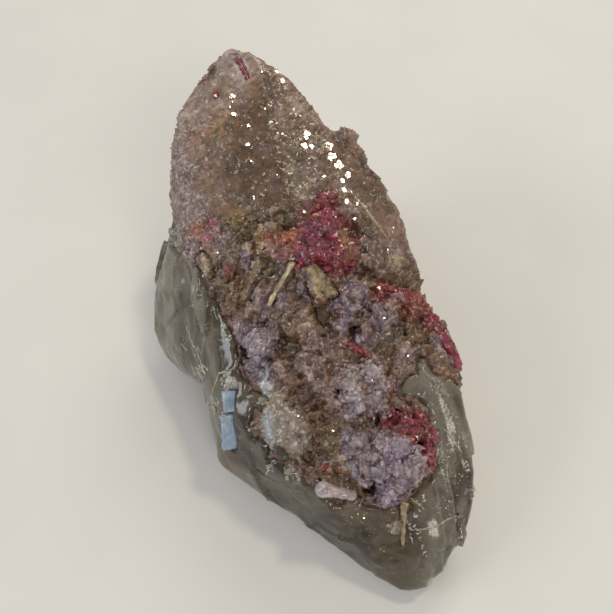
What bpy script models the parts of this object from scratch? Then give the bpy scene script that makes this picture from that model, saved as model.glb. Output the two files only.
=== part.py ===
"""Tourmaline in quartz, a mineral specimen that fits a hand.

A block of smoky quartz carries a sugary crust of lepidolite on its upper slope, clusters of lavender
lepidolite and red tourmaline further down, and blades and plates of feldspar. +Y runs from the low
near tip to the high far peak, +X is the right side, and the block rests on the flat cut under it.
Corners and places are in millimetres; the meshes are in metres.
"""

import math
import random

import bmesh
import bpy
from mathutils import Matrix, Vector, noise
from mathutils.bvhtree import BVHTree

MM = 0.001
OBJECT_NAME = "tourmaline_in_quartz"

# Everything is moved by this at the end, so that the origin is under the middle of the finished box.
ORIGIN_SHIFT = (-0.3, 1.2, 0.0)

# Space left around every crystal that sits in a pocket of its neighbour.
SEAT_GAP = 0.35

# The rock is joined from blocks on a grid of this size, then faceted down to this many triangles.
ROCK_GRID = 1.5
ROCK_TRIANGLES = 3050
ROCK_SMOOTHING = 1
ROCK_ROUGHNESS = 0.8
ROCK_ROUGH_SCALE = 11.0

# Corners of the long slab that makes the display slope, the far peak and the near wedge.
SLAB_CORNERS = {
    "far peak left": (-17.5, 54.5, 66),
    "far peak right": (-11.5, 53, 66),
    "slope left peak": (-23.5, 48.5, 62.5),
    "ridge right": (-0.5, 47, 61.5),
    "ridge right low": (2.5, 40, 57),
    "slope left high": (-28.8, 41.5, 57.5),
    "slope left": (-31.2, 33.5, 51),
    "slope left low": (-31, 24.3, 41.5),
    "slope middle": (-10, 24, 53.5),
    "slope right middle": (4, 24, 53),
    "waist left": (-21, 12, 42),
    "waist middle": (4, 10, 48),
    "waist right": (24, 12, 40),
    "belly left": (-15, -12, 35),
    "belly middle": (7, -15, 40),
    "belly right": (31.5, -5, 36),
    "edge right": (36, -12, 32.5),
    "edge right low": (36.3, -22, 28.5),
    "flank right": (37.8, -31, 23),
    "corner right": (41, -38, 16),
    "corner right low": (39.5, -44.6, 11),
    "flank near": (35, -48.7, 9.5),
    "brow left": (-14, -25, 27),
    "brow middle": (0, -36, 27),
    "brow right": (20, -44, 25),
    "near tip high": (26, -52, 14),
    "near tip": (26.5, -57.2, 5.5),
    "near tip left": (23.5, -56.8, 4.5),
    "near tip right": (30, -55.5, 6.5),
    "near edge right": (15, -51.3, 4),
    "near edge middle": (-2, -37.2, 3.5),
    "corner left": (-19.6, -28.2, 7),
    "corner left high": (-18.3, -23.5, 20),
    "foot near": (24, -52, -3),
    "foot left": (-16, -22, -3),
    "foot far left": (-26, 26, -3),
    "foot far": (-12, 39, -3),
    "foot far right": (8, 27, -3),
    "foot right": (30, -20, -3),
    "back bulge left": (-22, 50, 40),
    "back bulge": (-11, 51.5, 30),
    "back bulge right": (3, 42, 34),
    "back low": (-17, 47, 12),
    "back low right": (0, 38, 9),
}

# Corners of the thinner shoulder right of the ridge.
SHOULDER_CORNERS = {
    "outer far": (14.0, 38.0, 53.5),
    "outer middle": (17.4, 27.8, 46.5),
    "outer near": (25.8, 20.5, 42),
    "waist": (27.5, 11, 39),
    "edge": (30.5, 1.0, 36.2),
    "inner far": (7, 38, 55.5),
    "inner middle": (6, 22, 52),
    "inner near": (12, 2, 43),
    "low far": (6, 33, 25),
    "low middle": (18, 14, 15),
    "low near": (28, -8, 10),
    "low inner": (0, 10, 10),
}

# Corners of the glassy buttress that bulges out on the left.
BUTTRESS_CORNERS = {
    "top far": (-31, 24.5, 40),
    "top outer": (-35, 24.8, 30),
    "outer far": (-37.7, 22.3, 24),
    "outer": (-39.6, 10.5, 16),
    "outer near": (-39, 5.5, 12.5),
    "low near": (-36, 1, 8.5),
    "near": (-28, -5.5, 9),
    "near inner": (-21.8, -11.5, 15),
    "brow": (-17.8, -17.5, 27),
    "brow middle": (-18, -6, 35),
    "brow far": (-25, 12, 39.5),
    "foot near": (-19, -8, -3),
    "foot outer": (-31, 5, -3),
    "foot far": (-31, 20, -3),
    "inner far": (-12, 22, 10),
    "inner near": (-8, -10, 10),
}

# The fine crust on the upper slope: its outline in plan, and a point and the rise of the plane under it.
CRUST_OUTLINE = (
    (-50, 62), (-50, 20), (-30, 15.5), (-20, 17.5), (-8, 17), (2, 19), (9, 22.5), (15, 19),
    (23, 8), (36, 12), (36, 40), (10, 62),
)
CRUST_FLOOR = (-10, 45, 52)
CRUST_RISE = (0.0, -0.42, 1.0)
CRUST_TOP = 90

# Clusters grow from lobes that are rooted in the rock. A lobe is its plan place and half its size
# along, across and out of the rock; sink is how far its middle lies under the surface.
TOURMALINE_CLUSTERS = {
    "tourmaline_main": dict(
        lobes=(
            (5.6, 11.0, 5.0, 5.0, 3.4), (9.2, 7.0, 3.4, 3.4, 2.4), (-0.6, 8.4, 4.2, 3.0, 2.1),
            (3.6, 5.8, 4.2, 2.4, 2.0),
        ),
        sink=0.8, crystals=30, length=4.4, radius=1.3, triangles=460,
    ),
    "tourmaline_nub": dict(
        lobes=((6.3, 18.6, 1.4, 1.8, 1.3),),
        sink=0.3, crystals=5, length=2.4, radius=0.7, triangles=110,
    ),
    "tourmaline_left": dict(
        lobes=((-22.6, 12.6, 1.9, 2.2, 1.4), (-20.0, 13.2, 1.7, 2.0, 1.3), (-20.2, 10.6, 1.4, 1.6, 1.2)),
        sink=0.5, crystals=9, length=2.6, radius=0.8, triangles=190,
    ),
    "tourmaline_right": dict(
        lobes=(
            (19.8, 0.6, 2.0, 1.4, 1.1), (23.4, 0.2, 2.4, 2.0, 1.6), (27.0, -1.2, 2.4, 2.0, 1.6),
            (30.2, -3.4, 1.8, 1.6, 1.1),
        ),
        sink=0.5, crystals=14, length=3.0, radius=0.9, triangles=280,
    ),
    "tourmaline_near": dict(
        lobes=(
            (21.4, -25.8, 2.4, 1.6, 1.4), (24.8, -27.6, 3.0, 2.4, 2.4), (28.2, -28.8, 2.4, 2.4, 2.0),
            (28.8, -32.4, 1.5, 2.2, 1.3),
        ),
        sink=0.6, crystals=16, length=4.0, radius=1.1, triangles=320,
    ),
}

GRAIN_CLUSTERS = {
    "lepidolite_near": dict(
        lobes=(
            (13.4, -31.6, 3.2, 2.8, 2.6), (18.6, -32.4, 4.2, 3.6, 4.0), (24.0, -32.8, 3.4, 3.0, 3.0),
            (16.2, -36.0, 3.0, 3.2, 3.2), (20.4, -36.6, 4.2, 3.8, 4.0), (20.0, -40.2, 3.2, 2.6, 2.6),
        ),
        sink=0.6, crystals=60, radius=1.9, triangles=560,
    ),
    "lepidolite_left": dict(
        lobes=((-10.8, -8.8, 2.2, 2.4, 1.9), (-8.0, -10.4, 2.5, 2.6, 2.4), (-8.8, -13.6, 2.0, 2.4, 1.6)),
        sink=0.7, crystals=22, radius=1.4, triangles=280,
    ),
    "lepidolite_middle": dict(
        lobes=(
            (10.8, -19.6, 2.6, 2.6, 1.9), (15.2, -19.2, 3.4, 2.8, 2.8), (18.8, -20.0, 2.2, 2.0, 1.8),
            (12.6, -23.4, 3.0, 2.6, 2.3), (16.6, -24.2, 3.0, 2.6, 2.6),
        ),
        sink=0.7, crystals=30, radius=1.6, triangles=360,
    ),
    "lepidolite_right": dict(
        lobes=(
            (13.2, -1.4, 3.2, 2.8, 2.0), (16.6, -4.0, 2.6, 2.4, 1.6), (10.6, -5.4, 2.4, 2.8, 1.8),
            (9.4, -9.4, 1.8, 1.8, 1.2), (15.4, -7.6, 2.2, 2.0, 1.3),
        ),
        sink=0.6, crystals=26, radius=1.4, triangles=340,
    ),
    "feldspar_grains": dict(
        lobes=((-13.6, 13.2, 2.4, 2.0, 1.4), (-9.6, 11.2, 3.0, 2.0, 1.5), (-6.0, 10.2, 2.0, 1.6, 1.2)),
        sink=0.5, crystals=20, radius=1.1, triangles=240,
    ),
    "milky_lens": dict(
        lobes=(
            (-4.8, -24.6, 3.0, 2.6, 1.3), (-4.6, -28.4, 3.2, 3.4, 1.5), (-0.6, -28.0, 3.4, 3.4, 1.6),
            (0.4, -31.4, 2.6, 2.2, 1.3),
        ),
        sink=0.3, crystals=14, radius=1.5, triangles=280,
    ),
}

# Single tourmaline prisms: the middles of both ends, the radius and how narrow the far end is.
PRISMS = {
    "tourmaline_edge": dict(ends=((31.8, -4.4, 34.6), (36.4, -14.6, 31.0)), radius=1.7, taper=0.8),
    "tourmaline_needle": dict(ends=((-14.2, 50.8, 64.1), (-11.7, 45.6, 62.4)), radius=0.6, taper=0.6),
    "tourmaline_streak": dict(ends=((10.6, -12.2, 39.6), (15.4, -14.8, 37.8)), radius=0.75, taper=0.6),
}

# Flat crystals: the middles of both ends, width, thickness, roll about their length in degrees
# (0 lies flat, 90 stands on edge) and the width left at the far end.
PLATES = {
    "feldspar_flake": dict(
        ends=((2.6, 3.4, 46.2), (6.6, -3.4, 43.4)), width=3.6, thick=1.1, roll=-22, taper=1.7,
    ),
    "feldspar_long_blade": dict(
        ends=((-1.4, 4.0, 46.4), (-6.6, -3.6, 41.0)), width=2.8, thick=0.8, roll=62, taper=0.4,
    ),
    "feldspar_wedge": dict(
        ends=((-8.6, 5.6, 45.6), (-12.4, -2.2, 40.9)), width=2.6, thick=0.9, roll=40, taper=0.6,
    ),
    "feldspar_ridge": dict(
        ends=((-22.4, 9.8, 42.2), (-20.2, 4.8, 40.8)), width=2.2, thick=0.9, roll=35, taper=0.6,
    ),
    "feldspar_sliver": dict(
        ends=((19.8, -22.2, 33.4), (24.0, -24.8, 31.9)), width=2.0, thick=0.7, roll=50, taper=0.6,
    ),
    "feldspar_band": dict(
        ends=((22.4, -42.2, 24.9), (22.4, -49.0, 17.2)), width=2.0, thick=0.9, roll=35, taper=0.6,
    ),
    "blue_blade_upper": dict(
        ends=((-14.8, -19.0, 30.6), (-14.9, -22.9, 27.7)), width=4.4, thick=0.9, roll=-38, taper=0.8,
    ),
    "blue_blade_lower": dict(
        ends=((-15.3, -23.3, 26.6), (-15.8, -27.6, 17.6)), width=4.0, thick=0.9, roll=-26, taper=0.95,
    ),
}
PLATE_CUTS = 4
PLATE_WIDTH_RANGE = (0.75, 1.15)
PLATE_SHIFT = 0.04
PLATE_THIN_END = 0.7

# The lilac knob that lies across the foot of the near cluster, as a row of balls.
FINGER_ENDS = ((5.4, -39.7, 25.8), (11.4, -40.9, 25.6))
FINGER_RADII = (1.9, 1.5, 1.4, 1.3)
FINGER_TRIANGLES = 160

PRISM_SIDES = 9
PRISM_TAPER = 0.85
# A single prism's own point: its share of the length, and the width left at its end.
POINT_SHARE = 0.15
POINT_WIDTH = 0.3
SMALL_GRID = 0.55

# Base colour, roughness and how much light passes, for each mineral.
MINERALS = {
    "smoky_quartz": ((0.30, 0.27, 0.22), 0.15, 0.6),
    "lepidolite_crust": ((0.42, 0.33, 0.33), 0.35, 0.1),
    "lepidolite_lavender": ((0.38, 0.32, 0.44), 0.35, 0.1),
    "rubellite": ((0.42, 0.02, 0.10), 0.2, 0.2),
    "cream_feldspar": ((0.62, 0.55, 0.44), 0.4, 0.0),
    "blue_feldspar": ((0.25, 0.36, 0.48), 0.3, 0.0),
    "milky_quartz": ((0.60, 0.57, 0.54), 0.25, 0.3),
}
MINERAL_OF = {
    "quartz": "smoky_quartz",
    "lepidolite_slope": "lepidolite_crust",
    "lepidolite": "lepidolite_lavender",
    "tourmaline": "rubellite",
    "feldspar": "cream_feldspar",
    "blue": "blue_feldspar",
    "milky": "milky_quartz",
    "lilac": "lepidolite_lavender",
}


def clear_scene():
    for thing in list(bpy.data.objects):
        bpy.data.objects.remove(thing, do_unlink=True)


def make_collection(name):
    collection = bpy.data.collections.new(name)
    bpy.context.scene.collection.children.link(collection)
    return collection


def add_object(name, bm, collection):
    """Turns a bmesh into a new object of the collection."""
    mesh = bpy.data.meshes.new(name)
    bm.to_mesh(mesh)
    bm.free()
    thing = bpy.data.objects.new(name, mesh)
    collection.objects.link(thing)
    return thing


def hull_bmesh(points):
    bm = bmesh.new()
    for point in points:
        bm.verts.new(Vector(point) * MM)
    hull = bmesh.ops.convex_hull(bm, input=bm.verts)
    loose = [v for v in hull["geom_interior"] if isinstance(v, bmesh.types.BMVert)]
    bmesh.ops.delete(bm, geom=loose, context="VERTS")
    bmesh.ops.recalc_face_normals(bm, faces=bm.faces)
    return bm


def bake(thing):
    """Applies the object's modifiers to its mesh."""
    graph = bpy.context.evaluated_depsgraph_get()
    old = thing.data
    thing.data = bpy.data.meshes.new_from_object(thing.evaluated_get(graph))
    thing.modifiers.clear()
    bpy.data.meshes.remove(old)


def merge_into(first, others):
    """Puts the other objects' meshes into the first one's, and removes them."""
    bm = bmesh.new()
    for thing in [first, *others]:
        copy = thing.data.copy()
        copy.transform(thing.matrix_world)
        bm.from_mesh(copy)
        bpy.data.meshes.remove(copy)
    bm.to_mesh(first.data)
    bm.free()
    first.matrix_world = Matrix()
    for thing in others:
        bpy.data.objects.remove(thing, do_unlink=True)


def fuse(thing, grid, smoothing=0):
    """Joins overlapping shapes of one object into one body on a voxel grid."""
    remesh = thing.modifiers.new("join", "REMESH")
    remesh.mode = "VOXEL"
    remesh.voxel_size = grid * MM
    if smoothing:
        smooth = thing.modifiers.new("smooth", "SMOOTH")
        smooth.factor = 0.5
        smooth.iterations = smoothing
    bake(thing)


def facet(thing, triangles):
    """Cuts the number of triangles, which leaves flat facets as on broken crystal."""
    thing.data.calc_loop_triangles()
    share = triangles / len(thing.data.loop_triangles)
    if share < 1:
        decimate = thing.modifiers.new("facet", "DECIMATE")
        decimate.ratio = share
        decimate.use_collapse_triangulate = True
        bake(thing)


def roughen(thing, height, scale):
    """Moves each point along its normal by smooth noise of the given height and width."""
    for vertex in thing.data.vertices:
        place = vertex.co / (scale * MM)
        swell = noise.fractal(place, 1.0, 2.0, 3)
        vertex.co += vertex.normal * swell * height * MM


def combine(host, cutter, operation):
    """Cuts or keeps the host by the cutter, exactly."""
    boolean = host.modifiers.new("cut", "BOOLEAN")
    boolean.operation = operation
    boolean.solver = "EXACT"
    boolean.object = cutter
    bake(host)


def trim(bm, place, outward):
    """Cuts away what lies beyond a plane, and closes the cut."""
    geometry = bm.verts[:] + bm.edges[:] + bm.faces[:]
    cut = bmesh.ops.bisect_plane(
        bm, geom=geometry, plane_co=place, plane_no=outward, clear_outer=True
    )
    rim = [e for e in cut["geom_cut"] if isinstance(e, bmesh.types.BMEdge)]
    bmesh.ops.holes_fill(bm, edges=rim, sides=0)


def cut_base(thing):
    """Cuts the thing off flat at its foot."""
    bm = bmesh.new()
    bm.from_mesh(thing.data)
    trim(bm, (0, 0, 0), (0, 0, -1))
    bmesh.ops.triangulate(bm, faces=bm.faces)
    bm.to_mesh(thing.data)
    bm.free()


def make_rock(collection):
    """The whole outer shape, before the crust and the crystals are parted from it."""
    blocks = [
        add_object("block", hull_bmesh(corners.values()), collection)
        for corners in (SLAB_CORNERS, SHOULDER_CORNERS, BUTTRESS_CORNERS)
    ]
    rock = blocks[0]
    merge_into(rock, blocks[1:])
    fuse(rock, ROCK_GRID, ROCK_SMOOTHING)
    roughen(rock, ROCK_ROUGHNESS, ROCK_ROUGH_SCALE)
    facet(rock, ROCK_TRIANGLES)
    cut_base(rock)
    rock.name = "quartz_body"
    return rock


def grown_outline(corners, gap):
    """An outline's corners, counter-clockwise, moved out so that each side moves by the gap."""
    grown = []
    for index, corner in enumerate(corners):
        before = (corner - corners[index - 1]).normalized()
        after = (corners[(index + 1) % len(corners)] - corner).normalized()
        out_before, out_after = (Vector((side.y, -side.x)) for side in (before, after))
        grown.append(corner + (out_before + out_after) * gap / (1 + out_before.dot(out_after)))
    return grown


def crust_cutter(name, gap, collection):
    """The space above the crust's floor and inside its outline, grown by the gap."""
    corners = grown_outline([Vector(corner) for corner in CRUST_OUTLINE], gap)
    bm = bmesh.new()
    ring = [bm.verts.new(Vector((*corner, CRUST_TOP)) * MM) for corner in corners]
    bm.faces.new(ring)
    extruded = bmesh.ops.extrude_face_region(bm, geom=bm.faces[:])
    lower = [v for v in extruded["geom"] if isinstance(v, bmesh.types.BMVert)]
    bmesh.ops.translate(bm, verts=lower, vec=(0, 0, -CRUST_TOP * MM))
    bmesh.ops.recalc_face_normals(bm, faces=bm.faces)
    up = Vector(CRUST_RISE).normalized()
    trim(bm, (Vector(CRUST_FLOOR) - up * gap) * MM, -up)
    bmesh.ops.triangulate(bm, faces=bm.faces)
    bmesh.ops.recalc_face_normals(bm, faces=bm.faces)
    return add_object(name, bm, collection)


def part_crust(rock, parts, cutters):
    """Parts the crust of the upper slope from the quartz under it."""
    crust = rock.copy()
    crust.data = rock.data.copy()
    crust.name = "lepidolite_slope"
    parts.objects.link(crust)
    combine(crust, crust_cutter("crust_space", 0, cutters), "INTERSECT")
    combine(rock, crust_cutter("crust_seat", SEAT_GAP, cutters), "DIFFERENCE")
    return crust


def surface_frame(tree, place):
    """Axes on the rock at a plan place, with Z pointing out of the rock."""
    x, y = place
    reach = 3.0
    hits = [
        tree.ray_cast(Vector((x + dx, y + dy, CRUST_TOP)) * MM, Vector((0, 0, -1)))
        for dx, dy in ((0, 0), (reach, 0), (-reach, 0), (0, reach), (0, -reach))
    ]
    out = sum((hit[1] for hit in hits if hit[1]), Vector()).normalized()
    return Matrix.Translation(hits[0][0]) @ out.to_track_quat("Z", "Y").to_matrix().to_4x4()


def add_ball(bm, frame, radii, detail):
    matrix = frame @ Matrix.Diagonal((*radii, 1.0))
    bmesh.ops.create_icosphere(bm, subdivisions=detail, radius=1.0, matrix=matrix)


def add_prism(bm, frame, foot, direction, length, radius):
    turn = direction.to_track_quat("Z", "Y").to_matrix().to_4x4()
    matrix = frame @ Matrix.Translation(foot) @ turn @ Matrix.Translation((0, 0, length / 2))
    bmesh.ops.create_cone(
        bm, cap_ends=True, segments=PRISM_SIDES, radius1=radius, radius2=radius * PRISM_TAPER,
        depth=length, matrix=matrix,
    )


def random_on_disc(rng):
    angle = rng.uniform(0, 2 * math.pi)
    reach = math.sqrt(rng.random())
    return reach * math.cos(angle), reach * math.sin(angle)


def lobe_frames(spec, tree):
    """Each lobe's axes in the rock, and half its size."""
    sink = Matrix.Translation((0, 0, -spec["sink"] * MM))
    for x, y, *half in spec["lobes"]:
        yield surface_frame(tree, (x, y)) @ sink, Vector(half) * MM


def crystals_for(half, spec):
    """A lobe's share of the cluster's crystals, by its plan size."""
    whole = sum(lobe[2] * lobe[3] for lobe in spec["lobes"]) * MM * MM
    return max(1, round(spec["crystals"] * half.x * half.y / whole))


def tourmaline_cluster(name, spec, tree, collection):
    """Stubby prisms that fan out of lobes grown together."""
    rng = random.Random(name)
    bm = bmesh.new()
    for frame, half in lobe_frames(spec, tree):
        add_ball(bm, frame, half, 3)
        for _ in range(crystals_for(half, spec)):
            u, v = random_on_disc(rng)
            foot = Vector((u * half.x, v * half.y, -0.3 * half.z))
            lean = Vector((u, v, rng.uniform(0.7, 1.6))).normalized()
            length = spec["length"] * MM * rng.uniform(0.6, 1.0) * (1.1 - 0.45 * (u * u + v * v))
            radius = spec["radius"] * MM * rng.uniform(0.7, 1.1)
            add_prism(bm, frame, foot, lean, length, radius)
    return finish_cluster(name, spec, bm, collection)


def grain_cluster(name, spec, tree, collection):
    """Rounded grains heaped over lobes grown together."""
    rng = random.Random(name)
    bm = bmesh.new()
    for frame, half in lobe_frames(spec, tree):
        add_ball(bm, frame, half, 3)
        for _ in range(crystals_for(half, spec)):
            u, v = random_on_disc(rng)
            dome = math.sqrt(max(0.0, 1 - u * u - v * v))
            place = Matrix.Translation((u * half.x, v * half.y, dome * half.z * 0.9))
            radii = [spec["radius"] * MM * rng.uniform(0.6, 1.15) for _ in range(3)]
            add_ball(bm, frame @ place, radii, 1)
    return finish_cluster(name, spec, bm, collection)


def finish_cluster(name, spec, bm, collection):
    thing = add_object(name, bm, collection)
    fuse(thing, SMALL_GRID)
    facet(thing, spec["triangles"])
    return thing


def frame_along(ends, roll):
    """Axes with X along the line between two ends, and Z upward before the roll."""
    start, end = (Vector(point) * MM for point in ends)
    along = (end - start).normalized()
    across = Vector((0, 0, 1)).cross(along).normalized()
    out = along.cross(across)
    axes = Matrix((along, across, out)).transposed().to_4x4()
    frame = Matrix.Translation((start + end) / 2) @ axes
    return frame @ Matrix.Rotation(math.radians(roll), 4, "X"), (end - start).length


def make_prism(name, spec, collection):
    """One straight prism, rounded to nine faces as tourmaline is, and capped by a low point."""
    frame, length = frame_along(spec["ends"], 0)
    radius = spec["radius"] * MM
    bm = bmesh.new()
    widths = ((radius, radius * spec["taper"]), (radius * spec["taper"], radius * POINT_WIDTH))
    depths = (length * (1 - POINT_SHARE), length * POINT_SHARE)
    start = -length / 2
    for (near, far), depth in zip(widths, depths):
        place = Matrix.Translation((start + depth / 2, 0, 0)) @ Matrix.Rotation(math.pi / 2, 4, "Y")
        bmesh.ops.create_cone(
            bm, cap_ends=True, segments=PRISM_SIDES, radius1=near, radius2=far,
            depth=depth, matrix=place,
        )
        start += depth
    bmesh.ops.remove_doubles(bm, verts=bm.verts, dist=1e-7)
    caps = [face for face in bm.faces if len(face.verts) == PRISM_SIDES]
    inner = [face for face in caps if abs(face.calc_center_median().x) < length * 0.45]
    bmesh.ops.delete(bm, geom=inner, context="FACES_ONLY")
    bmesh.ops.recalc_face_normals(bm, faces=bm.faces)
    bmesh.ops.triangulate(bm, faces=bm.faces)
    thing = add_object(name, bm, collection)
    thing.matrix_world = frame
    return thing


def make_plate(name, spec, collection):
    """A flat cleavage plate with a broken outline."""
    frame, length = frame_along(spec["ends"], spec["roll"])
    bm = bmesh.new()
    size = Matrix.Diagonal((length, spec["width"] * MM, spec["thick"] * MM, 1.0))
    bmesh.ops.create_cube(bm, size=1.0, matrix=size)
    for vertex in bm.verts:
        if vertex.co.x > 0:
            vertex.co.y *= spec["taper"]
            vertex.co.z *= PLATE_THIN_END
    lengthwise = [e for e in bm.edges if abs(e.verts[0].co.x - e.verts[1].co.x) > length * 0.9]
    bmesh.ops.subdivide_edges(bm, edges=lengthwise, cuts=PLATE_CUTS)
    rng = random.Random(name)
    for vertex in bm.verts:
        vertex.co.y *= rng.uniform(*PLATE_WIDTH_RANGE)
        vertex.co.x += rng.uniform(-PLATE_SHIFT, PLATE_SHIFT) * length
    bmesh.ops.triangulate(bm, faces=bm.faces)
    thing = add_object(name, bm, collection)
    thing.matrix_world = frame
    return thing


def make_finger(name, collection):
    """A rounded knob, fused from balls in a row."""
    start, end = (Vector(point) * MM for point in FINGER_ENDS)
    bm = bmesh.new()
    for step, radius in enumerate(FINGER_RADII):
        place = Matrix.Translation(start.lerp(end, step / (len(FINGER_RADII) - 1)))
        add_ball(bm, place, (radius * MM,) * 3, 2)
    thing = add_object(name, bm, collection)
    fuse(thing, SMALL_GRID)
    facet(thing, FINGER_TRIANGLES)
    return thing


def corners_of(thing):
    return [thing.matrix_world @ vertex.co for vertex in thing.data.vertices]


def seat_cutter(thing, gap, collection):
    """A block trimmed by planes that each stand the gap clear of the thing, in its own axes."""
    corners = corners_of(thing)
    middle = sum(corners, Vector()) / len(corners)
    turn = thing.matrix_world.to_3x3().normalized()
    bm = bmesh.new()
    place = Matrix.Translation(middle)
    bmesh.ops.create_cube(bm, size=0.1, matrix=place @ turn.to_4x4())
    steps = (-1, 0, 1)
    sides = [Vector((x, y, z)) for x in steps for y in steps for z in steps if x or y or z]
    for side in sides:
        outward = (turn @ side).normalized()
        reach = max(outward.dot(corner) for corner in corners) + gap * MM
        trim(bm, outward * reach, outward)
    bmesh.ops.remove_doubles(bm, verts=bm.verts, dist=1e-5)
    bmesh.ops.triangulate(bm, faces=bm.faces)
    bmesh.ops.recalc_face_normals(bm, faces=bm.faces)
    return add_object(thing.name + "_seat", bm, collection)


def boxes_meet(first, second):
    spans = []
    for thing in (first, second):
        corners = corners_of(thing)
        low = Vector([min(c[axis] for c in corners) for axis in range(3)])
        high = Vector([max(c[axis] for c in corners) for axis in range(3)])
        spans.append((low, high))
    (low_a, high_a), (low_b, high_b) = spans
    return all(low_a[i] <= high_b[i] and low_b[i] <= high_a[i] for i in range(3))


def seat_all(crystals, hosts, cutters):
    """Cuts a pocket for every crystal in the hosts, and in the crystals that come after it."""
    for order, crystal in enumerate(crystals):
        seat = seat_cutter(crystal, SEAT_GAP, cutters)
        for other in hosts + crystals[order + 1:]:
            if boxes_meet(seat, other):
                combine(other, seat, "DIFFERENCE")


def move_origin(things):
    shift = Matrix.Translation(Vector(ORIGIN_SHIFT) * MM)
    for thing in things:
        thing.matrix_world = shift @ thing.matrix_world


def hide_cutters(collection):
    for cutter in collection.objects:
        cutter.hide_render = True
        cutter.display_type = "WIRE"
    collection.hide_render = True


def mineral_material(name):
    """A plain material with the mineral's colour, gloss and clearness."""
    colour, roughness, clearness = MINERALS[name]
    material = bpy.data.materials.new(name)
    material.use_nodes = True
    shader = material.node_tree.nodes["Principled BSDF"]
    shader.inputs["Base Color"].default_value = (*colour, 1.0)
    shader.inputs["Roughness"].default_value = roughness
    shader.inputs["Metallic"].default_value = 0.0
    shader.inputs["Transmission Weight"].default_value = clearness
    material.diffuse_color = (*colour, 1.0)
    return material


def paint(parts):
    """Gives every piece a material of its own for its mineral."""
    for thing in parts:
        starts = [start for start in MINERAL_OF if thing.name.startswith(start)]
        thing.data.materials.clear()
        thing.data.materials.append(mineral_material(MINERAL_OF[max(starts, key=len)]))


def main():
    clear_scene()
    parts = make_collection(OBJECT_NAME)
    cutters = make_collection(OBJECT_NAME + "_cutters")
    rock = make_rock(parts)
    tree = BVHTree.FromObject(rock, bpy.context.evaluated_depsgraph_get())
    crust = part_crust(rock, parts, cutters)
    crystals = [make_prism(name, spec, parts) for name, spec in PRISMS.items()]
    crystals += [make_plate(name, spec, parts) for name, spec in PLATES.items()]
    crystals.append(make_finger("lilac_finger", parts))
    for name, spec in TOURMALINE_CLUSTERS.items():
        crystals.append(tourmaline_cluster(name, spec, tree, parts))
    for name, spec in GRAIN_CLUSTERS.items():
        crystals.append(grain_cluster(name, spec, tree, parts))
    bpy.context.view_layer.update()
    seat_all(crystals, [rock, crust], cutters)
    move_origin([*parts.objects, *cutters.objects])
    paint([rock, crust, *crystals])
    hide_cutters(cutters)


main()
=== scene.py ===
"""Tourmaline in quartz: the looks of the specimen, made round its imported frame.

The smoky quartz, the granular crust and every crystal are sculpted from the frame's solids, so each
stays where its solid is. Places on the stone are plan places in millimetres, or pixels of the
614 x 614 picture that are cast from its camera onto the stone.
"""

import itertools
import math
import random

import bmesh
import bpy
import numpy as np
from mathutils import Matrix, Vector
from mathutils.bvhtree import BVHTree


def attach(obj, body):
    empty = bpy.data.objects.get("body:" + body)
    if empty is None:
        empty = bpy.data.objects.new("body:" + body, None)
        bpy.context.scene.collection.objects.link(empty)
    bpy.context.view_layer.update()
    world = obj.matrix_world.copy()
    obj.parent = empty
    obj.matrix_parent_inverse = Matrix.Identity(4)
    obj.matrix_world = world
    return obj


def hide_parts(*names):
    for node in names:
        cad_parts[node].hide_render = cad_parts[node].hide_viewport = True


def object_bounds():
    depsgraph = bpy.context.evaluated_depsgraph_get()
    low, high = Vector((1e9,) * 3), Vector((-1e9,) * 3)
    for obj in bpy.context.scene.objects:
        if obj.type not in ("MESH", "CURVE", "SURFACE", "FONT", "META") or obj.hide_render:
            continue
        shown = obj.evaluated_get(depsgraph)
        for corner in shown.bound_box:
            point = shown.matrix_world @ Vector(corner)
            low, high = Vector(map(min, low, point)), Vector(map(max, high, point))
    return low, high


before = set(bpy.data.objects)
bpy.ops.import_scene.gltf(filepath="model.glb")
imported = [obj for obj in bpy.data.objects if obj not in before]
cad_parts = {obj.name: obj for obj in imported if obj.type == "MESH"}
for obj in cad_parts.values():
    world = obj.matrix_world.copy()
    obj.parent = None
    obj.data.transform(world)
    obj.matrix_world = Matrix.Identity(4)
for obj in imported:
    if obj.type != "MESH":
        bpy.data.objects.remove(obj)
cad_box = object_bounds()
cad_low, cad_high = (np.array(corner) for corner in cad_box)

MM = 0.001
ORIGIN_SHIFT = Vector((-0.3, 1.2, 0.0)) * MM  # as in the frame's own source

# The picture's camera: where it stands on the stone's own axes, its pitch and its focal length.
PICTURE_SIDE = 614
FOCAL_PIXELS = 650.0
SENSOR_MM = 36.0
CAMERA_PITCH = math.radians(57.0)
CAMERA_PLACE = Vector((2.0, -82.0, 161.3)) * MM + ORIGIN_SHIFT

# The ceiling lamp, which the polished crystal faces mirror.
LIGHT_CENTRE = Vector((0, 0, 0.04))
LAMP_TOWARDS = Vector((0.32, 0.26, 0.95)).normalized()
LAMP_DISTANCE = 1.3
LAMP_PLACE = LIGHT_CENTRE + LAMP_TOWARDS * LAMP_DISTANCE

# Grids and depths in mm.
SKIN_GRID = 0.34
QUARTZ_GRID = 0.62
PLATE_GRID = 0.24
SHELL_DEPTH = 1.6  # of the back of the granular crust
BRIDGE = 0.9  # how far the solids swell so that the gaps between them close
WELD = 1e-6

# How many loose crystals lie on the slope, on the middle, and as polished faces on both.
SLOPE_GRAINS, MIDDLE_GRAINS, STREWN_FACES = 3000, 2100, 1500


def srgb(red, green, blue):
    """A colour given as 0 to 255 display values, as linear light."""
    values = np.array((red, green, blue)) / 255.0
    return np.where(values <= 0.04045, values / 12.92, ((values + 0.055) / 1.055) ** 2.4)


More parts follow.
